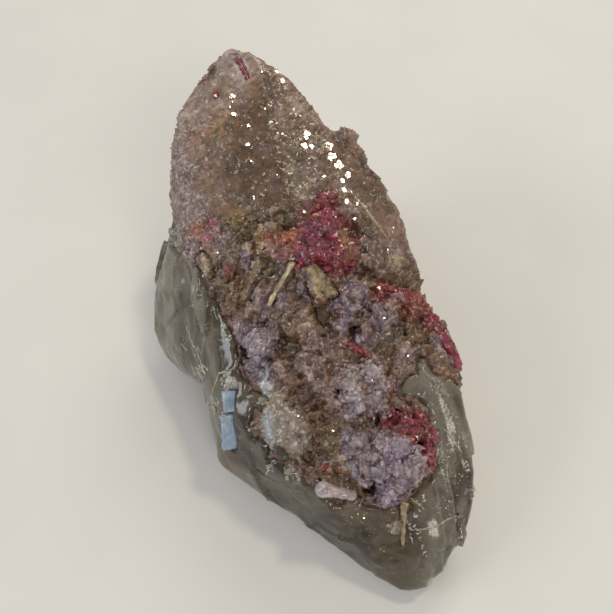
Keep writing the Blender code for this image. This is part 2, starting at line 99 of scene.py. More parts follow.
MINERALS = {
    name: srgb(*display)
    for name, display in {
        "mauve": (115, 85, 62), "mauve_pale": (157, 133, 120), "brown": (90, 63, 37),
        "ochre": (160, 126, 80), "rust": (140, 78, 44), "lilac": (142, 118, 120),
        # In the next line, the lilac white is both the colour of pale crystals and a painted highlight on the
        # crests of the crust.
        "lavender": (138, 117, 136), "violet": (92, 60, 58), "lilac_white": (208, 188, 184),
        # In the next line, the peak colour is partly the pale mineral at the top of the slope and partly
        # painted light shining through its thin edges.
        "pink": (152, 113, 90), "grey": (110, 97, 78), "pale_and_lit_through": (184, 172, 166), "olive": (120, 102, 66),
        "dark": (62, 40, 24), "cream": (194, 175, 140), "orange": (164, 100, 66), "coral": (166, 92, 74),
        "red": (142, 40, 50), "magenta": (150, 56, 84), "plum": (126, 62, 84), "milky": (194, 178, 166),
        "milky_shade": (164, 143, 128), "frost": (216, 213, 205), "haze": (198, 189, 170),
        "glass": (158, 143, 120), "deep_glass": (112, 95, 74), "smoke": (62, 48, 28),
        # The amber colour in the next line is painted shade for the pits of the crust.
        "gold": (164, 130, 80), "pocket": (122, 86, 46), "pit_shade_amber": (112, 80, 44), "ice": (196, 202, 208),
        # In the next line, the dark violet is painted shade for the pits of the mica and the palest lavender
        # is a painted highlight on its crests.
        "mica_pit_shade_violet": (88, 70, 104), "mica_crest_highlight": (208, 198, 214),
    }.items()
}


# ---- noise


def hashed(whole, seed):
    """Three numbers from 0 to 1 for each row of whole numbers."""
    x, y, z = (whole[:, axis].astype(np.int64) for axis in range(3))
    mask = np.int64(0xFFFFFFFF)
    mixed = (x * 73856093) ^ (y * 19349663) ^ (z * 83492791) ^ np.int64(seed * 40503 + 977)
    out = []
    for factor in (0x27D4EB2D, 0x165667B1, 0x1B873593):
        mixed = (mixed ^ (mixed >> 15)) & mask
        mixed = (mixed * factor) & mask
        mixed = (mixed ^ (mixed >> 13)) & mask
        out.append(mixed / float(mask))
    return np.stack(out, axis=1)


def smooth_noise(points, size, seed):
    """Soft noise from -1 to 1 at points in metres, with features of the given size in mm."""
    place = points / (size * MM)
    base = np.floor(place)
    part = place - base
    part = part * part * (3 - 2 * part)
    total = np.zeros(len(points))
    for corner in np.ndindex(2, 2, 2):
        weight = np.prod(np.where(np.array(corner) == 1, part, 1 - part), axis=1)
        total += weight * hashed(base + corner, seed)[:, 0]
    return total * 2 - 1


def fractal(points, size, seed, octaves=3):
    """Layers of soft noise, each with features half the size of the last."""
    total, share = np.zeros(len(points)), 0.0
    for octave in range(octaves):
        weight = 0.5**octave
        total += weight * smooth_noise(points, size / 2**octave, seed + octave)
        share += weight
    return total / share


def cells(points, size, seed):
    """The nearest seed of a cell pattern: its random numbers, the offset from it, and the edge distance."""
    place = points / (size * MM)
    base = np.floor(place)
    count = len(points)
    first, second = np.full(count, 9.0), np.full(count, 9.0)
    offset, number = np.zeros((count, 3)), np.zeros((count, 3))
    for step in np.ndindex(3, 3, 3):
        cell = base + np.array(step) - 1
        away = place - cell - hashed(cell, seed)
        distance = np.sqrt((away**2).sum(axis=1))
        nearer = distance < first
        second = np.where(nearer, first, np.minimum(second, distance))
        first = np.where(nearer, distance, first)
        offset[nearer] = away[nearer]
        number[nearer] = cell[nearer]
    return hashed(number, seed + 71), offset, second - first


def facets(points, size, seed, tilt, groove):
    """Height from 0 to about 1 of a surface of tilted flat grains, with each grain's random numbers."""
    numbers, offset, edge = cells(points, size, seed)
    lean = (numbers - 0.5) * 2
    height = 0.5 + 0.4 * (numbers[:, 0] - 0.5) + tilt * 0.35 * (lean * offset).sum(axis=1)
    return height - groove * np.exp(-edge / 0.08), numbers


def ramp(values, low, high):
    """0 below the low value, 1 above the high one, and a soft rise between them."""
    part = np.clip((values - low) / (high - low), 0, 1)
    return part * part * (3 - 2 * part)


def over(colour, other, share):
    """The colour, going over to the other as the share rises to 1."""
    return colour + (other - colour) * share


def drifting(points, first, second, size, seed, edge=0.3):
    """Soft drifts of two colours."""
    share = ramp(fractal(points, size, seed), -edge, edge)[:, None]
    return first * share + second * (1 - share)


def unit(rows):
    return rows / np.linalg.norm(rows, axis=1)[:, None]


# ---- meshes


def surface_of(mesh):
    """The mesh's points and their outward normals."""
    flat = np.empty((2, len(mesh.vertices) * 3), np.float32)
    mesh.vertices.foreach_get("co", flat[0])
    mesh.vertex_normals.foreach_get("vector", flat[1])
    return flat.astype(np.float64).reshape(2, -1, 3)


def faces_of(mesh):
    """The mesh's faces as rows of four corners. A voxel skin has only such faces."""
    flat = np.empty(len(mesh.loops), np.int32)
    mesh.loops.foreach_get("vertex_index", flat)
    return flat.reshape(-1, 4)


def new_piece(name, data):
    piece = bpy.data.objects.new(name, data)
    bpy.context.scene.collection.objects.link(piece)
    return piece


def remeshed(mesh, grid, smoothing):
    """The mesh as one closed skin on a voxel grid, smoothed a number of times."""
    helper = new_piece("helper", mesh)
    remesh = helper.modifiers.new("skin", "REMESH")
    remesh.mode, remesh.voxel_size = "VOXEL", grid * MM
    smooth = helper.modifiers.new("smooth", "SMOOTH")
    smooth.factor, smooth.iterations = 0.5, smoothing
    graph = bpy.context.evaluated_depsgraph_get()
    made = bpy.data.meshes.new_from_object(helper.evaluated_get(graph))
    bpy.data.objects.remove(helper, do_unlink=True)
    return made


def mesh_of(bm, name):
    mesh = bpy.data.meshes.new(name)
    bm.to_mesh(mesh)
    bm.free()
    return mesh


def swollen_copy(nodes, amount):
    """The nodes' meshes in one new mesh, each moved out along its normals by an amount in mm."""
    bm = bmesh.new()
    for node in nodes:
        bm.from_mesh(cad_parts[node].data)
    bmesh.ops.remove_doubles(bm, verts=bm.verts, dist=WELD)
    bm.normal_update()
    for vertex in bm.verts:
        vertex.co += vertex.normal * amount * MM
    return mesh_of(bm, "joined")


def mesh_from(points, triangles, name):
    """A mesh from arrays of corners and triangles."""
    mesh = bpy.data.meshes.new(name)
    count, sides = triangles.shape
    mesh.vertices.add(len(points))
    mesh.loops.add(triangles.size)
    mesh.polygons.add(count)
    mesh.vertices.foreach_set("co", points.astype(np.float32).ravel())
    mesh.loops.foreach_set("vertex_index", triangles.astype(np.int32).ravel())
    mesh.polygons.foreach_set("loop_start", np.arange(0, triangles.size, sides, dtype=np.int32))
    mesh.polygons.foreach_set("loop_total", np.full(count, sides, np.int32))
    mesh.update(calc_edges=True)
    return mesh


class Build:
    """Gathers skins and crystals that make up one piece."""

    def __init__(self):
        self.points, self.triangles, self.tints, self.smooth, self.count = [], [], [], [], 0

    def add(self, points, faces, tints, smooth=True):
        """Adds triangles, or four-sided faces that it splits."""
        smooth = np.broadcast_to(smooth, len(faces))
        if faces.shape[1] == 4:
            faces = np.concatenate([faces[:, [0, 1, 2]], faces[:, [0, 2, 3]]])
            smooth = np.tile(smooth, 2)
        self.points.append(points)
        self.triangles.append(faces + self.count)
        self.tints.append(np.broadcast_to(tints, points.shape))
        self.smooth.append(smooth)
        self.count += len(points)

    def add_shell(self, points, quads, outward, tint):
        """A patch of skin with a back and a rim. The rim keeps out of the shading of the front."""
        count = len(points)
        edges = np.concatenate([quads[:, [i, (i + 1) % 4]] for i in range(4)])
        _, place, times = np.unique(np.sort(edges, axis=1), axis=0, return_index=True, return_counts=True)
        rim = edges[place[times == 1]]
        walls = np.stack([rim[:, 1], rim[:, 0], rim[:, 0] + count, rim[:, 1] + count], axis=1)
        faces = np.concatenate([quads, quads[:, ::-1] + count, walls])
        both = np.concatenate([points, points - outward * SHELL_DEPTH * MM])
        self.add(both, faces, np.concatenate([tint, tint]), np.arange(len(faces)) < 2 * len(quads))

    def finish(self, name, material, slot, *nodes):
        points = np.clip(np.concatenate(self.points), cad_low, cad_high)
        mesh = mesh_from(points, np.concatenate(self.triangles), name)
        mesh.polygons.foreach_set("use_smooth", np.concatenate(self.smooth))
        full = np.ones((len(points), 4), np.float32)
        full[:, :3] = np.clip(np.concatenate(self.tints), 0, 1)
        layer = mesh.color_attributes.new("tint", "FLOAT_COLOR", "POINT")
        layer.data.foreach_set("color", full.ravel())
        mesh.materials.append(material)
        piece = new_piece(name, mesh)
        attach(piece, "root")
        if nodes:
            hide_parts(*nodes)
        return piece


def used_only(points, faces, *others):
    """The points that the faces use, the faces renumbered, and the other per-point arrays cut alike."""
    used, renumbered = np.unique(faces, return_inverse=True)
    return [points[used], renumbered.reshape(faces.shape), *(other[used] for other in others)]


# ---- places on the stone

CRYSTAL_NODES = [n for n in sorted(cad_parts) if n not in ("quartz_body", "lepidolite_slope")]
PRISM_NODES = ["tourmaline_edge", "tourmaline_needle", "tourmaline_streak"]
GRANULAR_KINDS = ("lepidolite", "feldspar_grains", "tourmaline", "milky")
PLATE_NODES = [n for n in CRYSTAL_NODES if not n.startswith(GRANULAR_KINDS)]


def close_stone():
    """The stone with all its crystals as one body. Swelling and shrinking closes the seats between them."""
    swollen = remeshed(swollen_copy(sorted(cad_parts), BRIDGE), SKIN_GRID, 3)
    points, outward = surface_of(swollen)
    swollen.vertices.foreach_set("co", (points - outward * BRIDGE * MM).astype(np.float32).ravel())
    swollen.update()
    return swollen


def tree_from(points, faces):
    return BVHTree.FromPolygons([Vector(p) for p in points], faces.tolist())


def tree_of(*nodes):
    corners, polygons = [], []
    for node in nodes:
        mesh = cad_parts[node].data
        start = len(corners)
        corners.extend(v.co.copy() for v in mesh.vertices)
        polygons.extend([start + i for i in p.vertices] for p in mesh.polygons)
    return BVHTree.FromPolygons(corners, polygons)


def distance_to(tree, points, most):
    """The distance in mm from each point to the tree's surface, up to a limit in mm."""
    out = np.full(len(points), float(most))
    for i, point in enumerate(points):
        found = tree.find_nearest(point, most * MM)
        if found[0] is not None:
            out[i] = found[3] / MM
    return out


def near_nodes(tree, points, reach):
    """1 on the tree's solids, falling to 0 at a distance in mm."""
    return 1 - ramp(distance_to(tree, points, reach), reach * 0.5, reach)


def inside_distance(points, outline):
    """How far each point is inside a plan outline in mm, negative outside."""
    plan = points[:, :2] / MM
    best, inside = np.full(len(plan), 1e9), np.zeros(len(plan), bool)
    for (ax, ay), (bx, by) in zip(outline, outline[1:] + outline[:1]):
        along = np.array((bx - ax, by - ay))
        part = np.clip(((plan - (ax, ay)) @ along) / (along @ along), 0, 1)
        away = plan - (ax, ay) - part[:, None] * along
        best = np.minimum(best, np.sqrt((away**2).sum(axis=1)))
        crosses = (ay > plan[:, 1]) != (by > plan[:, 1])
        reach = (bx - ax) * (plan[:, 1] - ay) / ((by - ay) or 1e-9) + ax
        inside ^= crosses & (plan[:, 0] < reach)
    return np.where(inside, best, -best)


closed_stone = close_stone()
skin = remeshed(closed_stone.copy(), SKIN_GRID, 6)
skin_points, skin_normals = surface_of(skin)
skin_tree = tree_from(skin_points, faces_of(skin))
plate_tree, prism_tree = tree_of(*PLATE_NODES), tree_of(*PRISM_NODES)
slope_tree, body_tree = tree_of("lepidolite_slope"), tree_of("quartz_body", "lepidolite_slope")


def pixel_ray(u, v):
    side, up = (u - PICTURE_SIDE / 2) / FOCAL_PIXELS, (PICTURE_SIDE / 2 - v) / FOCAL_PIXELS
    level, fall = math.cos(CAMERA_PITCH), math.sin(CAMERA_PITCH)
    return Vector((side, level + up * fall, up * level - fall)).normalized()


def cast(u, v):
    """Where the picture's pixel meets the stone: the place, and a pixel's size there in m."""
    place, _, _, far = skin_tree.ray_cast(CAMERA_PLACE, pixel_ray(u, v))
    if place is None:
        raise ValueError(f"pixel {u},{v} misses the stone")
    return np.array(place), far / FOCAL_PIXELS


def lie_on(tree, u, v):
    """Where a pixel meets what shows, and the outward normal there. None beside the stone."""
    place, normal, _, _ = tree.ray_cast(CAMERA_PLACE, pixel_ray(u, v))
    return (np.array(place), np.array(normal)) if place is not None else None


def around(tree, u, v, radius, count, rng):
    """Goes through the places and normals where random pixels round one pixel meet what shows."""
    for _ in range(count):
        angle, reach = rng.uniform(0, 2 * math.pi), radius * math.sqrt(rng.random())
        found = lie_on(tree, u + reach * math.cos(angle), v + reach * math.sin(angle))
        if found:
            yield found


def scattered(*where):
    """What around() finds, as one array of places and one of normals."""
    found = list(around(*where))
    return np.array([place for place, _ in found]), np.array([normal for _, normal in found])


# The outline in plan, in mm, of everything that is granular.
GRANULAR_OUTLINE = [
    (-16.5, 60), (2.5, 49.5), (9, 41), (17.5, 42.5), (22.5, 29), (29.5, 23.5), (32.5, 13), (34, 4),
    (37, -2), (41, -9), (40, -17), (31, -14.5), (26.5, -13.5), (26.8, -18.6), (28.3, -24.4), (30.7, -29),
    (29.6, -33.9), (26.2, -38.1), (24.6, -41.9), (18.3, -43.2), (11.1, -41), (5.3, -39), (0.5, -35.5),
    (-6.6, -31.4), (-10.5, -26), (-8.4, -20.9), (-12.9, -15.5), (-14.8, -8.4), (-18.9, -0.3), (-22.5, 6.5),
    (-28, 14.4), (-33, 21), (-35, 33), (-33, 43), (-25, 51),
]

# Places where bare smoky quartz shows between the grains: pixel and radius in pixels.
WINDOWS = {
    "pocket under the flake": (322, 313, 9),
    "pocket right of the left cluster": (281, 341, 5),
    "pocket by the near cluster": (374, 420, 6),
    "pocket over the finger": (306, 458, 7),
    "glassy patch above the red cluster": (412, 388, 13),
    "glassy patch on the right": (428, 376, 9),
}


def blob(points, u, v, radius, raggedness=0.5, seed=5):
    """1 at the pixel's place on the stone and 0 beyond the radius, with an uneven edge."""
    centre, pixel = cast(u, v)
    reach = np.sqrt(((points - centre) ** 2).sum(axis=1)) / (radius * pixel)
    near = reach < 2.2
    reach[near] += raggedness * smooth_noise(points[near], radius * pixel / MM * 0.55, seed + int(u))
    return 1 - ramp(reach, 0.65, 1.35)


def zones(points, outward):
    """How granular each point is, and how bare."""
    warp = 1.6 * smooth_noise(points, 4.0, 3) + 0.9 * smooth_noise(points, 1.7, 4)
    inside = inside_distance(points, GRANULAR_OUTLINE) + warp
    granular = ramp(inside, -0.6, 1.4) * ramp(outward[:, 2], -0.5, -0.15)
    hem = 5.0 * smooth_noise(points, 12.0, 6) + 2.5 * smooth_noise(points, 4.0, 7)
    granular *= ramp(points[:, 2] / MM + hem, 12.0, 16.0)
    bare = np.max([blob(points, *window) for window in WINDOWS.values()], axis=0)
    return granular * (1 - bare), bare


# ---- colours

# Mineral patches: what they are, the pixel of their middle, their radius in pixels and their strength. The
# pale patches at the top of the slope and down its upper left rim are partly the mineral's pale colour and
# partly painted light shining through the thin edges.
STAINS = [
    ("mauve_pale", 243, 66, 24, 0.75), ("pale_and_lit_through", 230, 58, 13, 0.6), ("pale_and_lit_through", 238, 76, 9, 0.4),
    ("mauve_pale", 204, 104, 24, 0.7), ("mauve_pale", 184, 150, 16, 0.5), ("lilac", 176, 170, 14, 0.6),
    ("lilac", 178, 196, 13, 0.6), ("pale_and_lit_through", 184, 118, 9, 0.4), ("lilac", 188, 216, 10, 0.5),
    ("ochre", 254, 88, 8, 0.6), ("ochre", 262, 108, 9, 0.5), ("ochre", 222, 132, 16, 0.4),
    ("rust", 206, 128, 6, 0.35), ("brown", 268, 96, 18, 0.6), ("brown", 246, 150, 30, 0.4),
    ("grey", 286, 160, 20, 0.5), ("mauve_pale", 297, 102, 9, 0.6), ("brown", 312, 150, 16, 0.4),
    ("mauve", 350, 160, 16, 0.6), ("mauve_pale", 344, 176, 9, 0.4), ("brown", 258, 190, 26, 0.45),
    ("grey", 300, 192, 16, 0.5), ("lilac", 300, 174, 6, 0.4), ("lilac", 322, 178, 7, 0.5),
    ("brown", 376, 200, 18, 0.5), ("pink", 391, 226, 12, 0.5), ("lilac", 395, 248, 10, 0.6),
    ("cream", 396, 262, 7, 0.6), ("ochre", 240, 214, 11, 0.75), ("ochre", 262, 238, 12, 0.7),
    ("brown", 248, 226, 14, 0.5), ("ochre", 308, 214, 8, 0.45), ("ochre", 347, 236, 11, 0.65),
    ("ochre", 352, 252, 8, 0.5), ("grey", 286, 218, 12, 0.6), ("mauve", 218, 215, 14, 0.4),
    ("orange", 274, 243, 10, 0.65), ("orange", 290, 240, 12, 0.8), ("red", 268, 236, 5, 0.5),
    ("plum", 311, 226, 13, 0.7), ("plum", 322, 236, 9, 0.5), ("dark", 291, 222, 4, 0.5),
    ("violet", 309, 246, 5, 0.7), ("coral", 286, 250, 10, 0.5), ("lilac", 218, 236, 13, 0.8),
    ("mauve_pale", 208, 254, 12, 0.8), ("lilac", 196, 246, 10, 0.6), ("orange", 196, 229, 7, 0.85),
    ("magenta", 209, 222, 4.5, 0.8), ("magenta", 208, 238, 4, 0.8), ("red", 228, 269, 6, 0.8),
    ("pink", 234, 288, 10, 0.55), ("cream", 206, 262, 8, 0.5), ("grey", 232, 248, 12, 0.4),
    ("lavender", 246, 262, 9, 0.5), ("lavender", 268, 300, 16, 0.55), ("lavender", 310, 282, 14, 0.45),
    ("violet", 303, 304, 10, 0.4), ("lilac", 280, 254, 14, 0.4), ("brown", 244, 232, 10, 0.5),
    ("pocket", 283, 346, 8, 0.5), ("brown", 292, 352, 18, 0.65), ("brown", 278, 322, 12, 0.4),
    ("pocket", 322, 318, 16, 0.85), ("pocket", 300, 328, 14, 0.65), ("pocket", 306, 412, 9, 0.4),
    ("lavender", 254, 348, 20, 0.55), ("lilac_white", 262, 340, 6, 0.5), ("lavender", 262, 370, 10, 0.5),
    ("brown", 300, 366, 14, 0.5), ("violet", 303, 396, 14, 0.75), ("violet", 296, 372, 8, 0.5),
    ("pink", 287, 384, 10, 0.4), ("ochre", 312, 428, 8, 0.6), ("brown", 322, 444, 16, 0.6),
    ("ochre", 330, 442, 8, 0.5), ("pocket", 318, 412, 9, 0.5), ("pocket", 340, 466, 8, 0.45),
    ("red", 326, 468, 4, 0.9), ("rust", 340, 470, 5, 0.5), ("lilac", 356, 300, 12, 0.5),
    ("violet", 332, 334, 8, 0.45), ("lavender", 366, 338, 14, 0.5), ("magenta", 356, 350, 5, 0.85),
    ("red", 366, 353, 4, 0.6), ("lavender", 384, 320, 14, 0.45), ("lilac_white", 376, 372, 7, 0.6),
    ("lilac_white", 354, 381, 7, 0.6), ("pink", 386, 378, 9, 0.5), ("rust", 343, 384, 5, 0.75),
    ("rust", 346, 395, 5, 0.6), ("rust", 351, 424, 4, 0.6), ("lilac", 352, 406, 12, 0.5),
    ("lavender", 372, 404, 13, 0.5), ("rust", 391, 392, 5, 0.6), ("red", 393, 388, 4, 0.4),
    ("ochre", 364, 430, 7, 0.6), ("ochre", 378, 426, 5, 0.5), ("pink", 334, 372, 10, 0.5),
    ("brown", 322, 382, 10, 0.5), ("ice", 264, 368, 6, 0.7), ("ice", 267, 384, 7, 0.85),
    ("ice", 267, 402, 7, 0.85), ("ice", 267, 420, 7, 0.8), ("ice", 268, 436, 6, 0.7),
    ("lilac_white", 350, 458, 14, 0.3), ("red", 217, 94, 3.4, 1.0), ("red", 262, 148, 4, 0.9),
    ("brown", 262, 140, 34, 0.6), ("brown", 262, 178, 38, 0.65), ("smoke", 359, 217, 7, 0.5),
    ("smoke", 366, 227, 7, 0.55), ("smoke", 374, 237, 6, 0.5), ("grey", 316, 176, 22, 0.4),
    ("brown", 304, 398, 16, 0.5), ("brown", 322, 440, 17, 0.5), ("grey", 270, 270, 9, 0.6),
    ("mauve", 262, 284, 7, 0.5), ("lilac_white", 398, 300, 8, 0.4), ("pink", 418, 330, 12, 0.4),
    ("lavender", 440, 344, 9, 0.6), ("pink", 448, 381, 12, 0.6), ("lavender", 408, 352, 12, 0.4),
]

# Clouded and clear places in the quartz, as above. The first two, the haze and the ice at the upper left of
# the buttress, are partly the quartz's own haze and partly a painted highlight of the window light.
QUARTZ_PATCHES = [
    ("haze", 170, 262, 26, 0.6), ("ice", 168, 242, 13, 0.4), ("haze", 166, 310, 24, 0.5),
    ("haze", 166, 350, 16, 0.5), ("olive", 200, 262, 12, 0.6), ("deep_glass", 206, 268, 12, 0.5),
    ("olive", 214, 318, 22, 0.8), ("smoke", 216, 310, 16, 0.4), ("smoke", 204, 262, 9, 0.4),
    ("smoke", 184, 330, 22, 0.4), ("deep_glass", 222, 350, 14, 0.6), ("haze", 228, 382, 10, 0.8),
    ("haze", 214, 405, 9, 0.8), ("deep_glass", 250, 400, 14, 0.6), ("deep_glass", 254, 450, 22, 0.7),
    ("haze", 292, 476, 9, 0.7), ("haze", 436, 392, 20, 0.4), ("haze", 448, 430, 22, 0.4),
    ("haze", 446, 470, 18, 0.35), ("haze", 448, 512, 20, 0.5), ("haze", 455, 535, 16, 0.5),
    ("haze", 414, 478, 18, 0.5), ("pocket", 432, 440, 9, 0.5), ("pocket", 461, 476, 8, 0.5),
    ("pocket", 428, 516, 10, 0.4), ("smoke", 330, 530, 60, 0.88), ("smoke", 400, 568, 44, 0.55),
    ("gold", 412, 480, 17, 0.65), ("gold", 356, 518, 18, 0.5), ("gold", 384, 512, 14, 0.4),
    ("gold", 392, 545, 16, 0.5), ("haze", 414, 478, 15, 0.3), ("olive", 414, 566, 26, 0.6),
    ("glass", 300, 508, 13, 0.4), ("glass", 332, 540, 15, 0.2), ("smoke", 245, 446, 28, 0.7),
    ("smoke", 296, 500, 22, 0.5), ("haze", 252, 476, 6, 0.4), ("pocket", 322, 318, 16, 0.9),
    ("pocket", 281, 341, 10, 0.9), ("pocket", 374, 420, 10, 0.9), ("pocket", 306, 458, 10, 0.9),
    ("haze", 414, 384, 15, 0.5), ("haze", 428, 376, 12, 0.5),
]


def patched(colour, points, patches, raggedness, seed):
    """The colour with mineral patches over it."""
    for number, (mineral, u, v, radius, strength) in enumerate(patches, start=seed):
        weight = strength * blob(points, u, v, radius, raggedness, number)[:, None]
        colour = over(colour, MINERALS[mineral], weight)
    return colour


def crust_tint(points):
    """The colour of the granular crust, from broad drifts of mineral."""
    broad = fractal(points, 14.0, 21)[:, None]
    fine = fractal(points, 3.2, 31)[:, None]
    lower = ramp(-points[:, 1:2] / MM, -22.0, -8.0)
    mauve, brown = MINERALS["mauve"], MINERALS["brown"]
    upper = mauve * (1 - 0.12 * broad) + (MINERALS["mauve_pale"] - mauve) * 0.3
    colour = upper * (1 - lower) + (0.6 * mauve + 0.4 * brown) * lower
    colour = over(colour, brown, 0.55 * ramp(broad, -0.1, 0.5))
    colour = over(colour, MINERALS["lilac"], 0.5 * ramp(-broad, 0.0, 0.5))
    return over(colour, MINERALS["grey"], 0.4 * ramp(fine, 0.1, 0.6))


def stained(colour, points):
    """The colour of the crust with its mineral patches over it."""
    return patched(colour, points, STAINS, 0.8, 100)


def varied(colour, numbers, light, hue):
    """Each grain a little lighter or darker than the next, and a little warmer or cooler."""
    colour = colour * (1 + light * (numbers[:, :1] - 0.45) * 2)
    warm = (numbers[:, 1:2] - 0.5) * 2 * hue
    return np.clip(colour * np.concatenate([1 + warm, 1 + 0 * warm, 1 - warm], axis=1), 0.004, 0.95)


# ---- materials


def add_node(tree, kind, inputs=None, **settings):
    """A new shader node with some settings and inputs."""
    node = tree.nodes.new(kind)
    for key, value in settings.items():
        setattr(node, key, value)
    feed(tree, node, inputs or {})
    return node


def feed(tree, node, inputs):
    """Sets a node's inputs to numbers, or links them to other nodes' outputs."""
    for key, value in inputs.items():
        if isinstance(value, bpy.types.NodeSocket):
            tree.links.new(value, node.inputs[key])
        else:
            node.inputs[key].default_value = value


def new_material(name):
    material = bpy.data.materials.new(name)
    material.use_nodes = True
    tree = material.node_tree
    tree.nodes.clear()
    output = add_node(tree, "ShaderNodeOutputMaterial")
    shader = add_node(tree, "ShaderNodeBsdfPrincipled")
    tree.links.new(shader.outputs["BSDF"], output.inputs["Surface"])
    return material, tree, shader, output


def stretched_place(tree, stretch=(1, 1, 1)):
    """Object coordinates in metres, scaled unevenly."""
    place = add_node(tree, "ShaderNodeTexCoord").outputs["Object"]
    return add_node(tree, "ShaderNodeMapping", {"Scale": stretch, "Vector": place}).outputs["Vector"]


def noise_at(tree, place, size, detail=3.0, rough=0.55):
    inputs = {"Scale": 1 / (size * MM), "Detail": detail, "Roughness": rough, "Vector": place}
    return add_node(tree, "ShaderNodeTexNoise", inputs).outputs["Fac"]


def cells_at(tree, place, size):
    return add_node(tree, "ShaderNodeTexVoronoi", {"Scale": 1 / (size * MM), "Vector": place})


def mapped(tree, value, *limits):
    """The value carried over from one range, the first two limits, to another, the last two."""
    inputs = dict(zip(("From Min", "From Max", "To Min", "To Max"), limits))
    return add_node(tree, "ShaderNodeMapRange", {"Value": value, **inputs}).outputs["Result"]


def multiplied(tree, colour, *values):
    """The colour times each of some grey values."""
    for value in values:
        inputs = {"Vector": colour, "Scale": value}
        colour = add_node(tree, "ShaderNodeVectorMath", inputs, operation="SCALE").outputs["Vector"]
    return colour


def summed(tree, first, second):
    return add_node(tree, "ShaderNodeMath", {0: first, 1: second}, operation="ADD").outputs[0]


def tint_going_to(tree, colour, share, other):
    """The colour, going over to a fixed one as the share rises to 1."""
    return add_node(tree, "ShaderNodeMix", {0: share, 6: colour, 7: (*other, 1)}, data_type="RGBA").outputs[2]


def bumped(tree, height, distance, strength):
    inputs = {"Distance": distance * MM, "Strength": strength, "Height": height}
    return add_node(tree, "ShaderNodeBump", inputs).outputs["Normal"]


def mineral_material(
    name, grain, spread, rough, bump, subsurface, reach, coat, transmission=0.0, edge=0.7,
    coat_rough=0.06, stretch=(1, 1, 1),
):
    """A mineral coloured by the piece's tint, with grains of a size in mm, uneven polish and fine relief, and
    painted shade in the gaps between its grains, which are a little lighter in their middles.
    """
    material, tree, shader, _ = new_material(name)
    place = stretched_place(tree, stretch)
    tint = add_node(tree, "ShaderNodeAttribute", attribute_name="tint").outputs["Color"]
    grains = cells_at(tree, place, grain)
    grey = add_node(tree, "ShaderNodeSeparateColor", {"Color": grains.outputs["Color"]})
    cloud = noise_at(tree, place, grain * 0.6)
    lit = mapped(tree, grey.outputs["Red"], 0, 1, 1 - spread, 1 + spread)
    dusty = mapped(tree, cloud, 0.3, 0.7, 1 - spread * 0.7, 1 + spread * 0.7)
    # Painted shade: darker towards each grain's edge, down to the share given as edge, and a little lighter
    # in its middle.
    painted_gap_shade = mapped(tree, grains.outputs["Distance"], 0.25, 0.75, 1.06, edge)
    relief = mapped(tree, grains.outputs["Distance"], 0, 1, 1, 0)
    looks = {
        "Base Color": multiplied(tree, tint, lit, dusty, painted_gap_shade),
        "Roughness": mapped(tree, grey.outputs["Green"], 0, 1, *rough),
        "Normal": bumped(tree, relief, grain * 0.5, bump),
        "IOR": 1.54,
        "Subsurface Weight": subsurface,
        "Subsurface Radius": (1.0, 0.75, 0.65),
        "Subsurface Scale": reach * MM,
        "Coat Weight": coat,
        "Coat Roughness": coat_rough,
        "Transmission Weight": transmission,
    }
    feed(tree, shader, looks)
    return material


crust_fine = mineral_material("crust_fine", 1.5, 0.12, (0.25, 0.5), 0.2, 0.45, 1.4, 0.5, 0.0, 0.92, 0.1)
crust_coarse = mineral_material("crust_coarse", 0.8, 0.26, (0.15, 0.5), 0.35, 0.35, 1.2, 0.45)
glassy_grains = mineral_material("glassy_grains", 0.7, 0.2, (0.05, 0.3), 0.15, 0.2, 0.8, 0.5, 0.35)
lavender_mica = mineral_material("lavender_mica", 1.2, 0.12, (0.12, 0.4), 0.2, 0.5, 1.4, 0.5, 0.2, 0.88)
rubellite = mineral_material("rubellite", 0.9, 0.16, (0.08, 0.35), 0.2, 0.4, 1.0, 0.5, 0.15, 0.85)
cream_spar = mineral_material("cream_spar", 0.9, 0.16, (0.2, 0.5), 0.25, 0.3, 1.0, 0.2, edge=0.9)
blue_spar = mineral_material(
    "blue_spar", 0.5, 0.06, (0.12, 0.3), 0.12, 0.2, 0.8, 0.3, edge=0.97, stretch=(1, 1, 0.12)
)
milky_glass = mineral_material("milky_glass", 1.1, 0.14, (0.1, 0.35), 0.25, 0.4, 1.8, 0.5, 0.4, 0.9)
frost_skin = mineral_material("frost_skin", 0.6, 0.2, (0.2, 0.5), 0.3, 0.3, 0.6, 0.2, 0.3)
shard_glass = mineral_material("shard_glass", 1.0, 0.12, (0.04, 0.22), 0.2, 0.2, 0.8, 0.4, 0.4, 0.9)
polished_face = mineral_material(
    "polished_face", 0.8, 0.1, (0.1, 0.16), 0.0, 0.2, 0.6, 0.6, 0.2, coat_rough=0.1
)


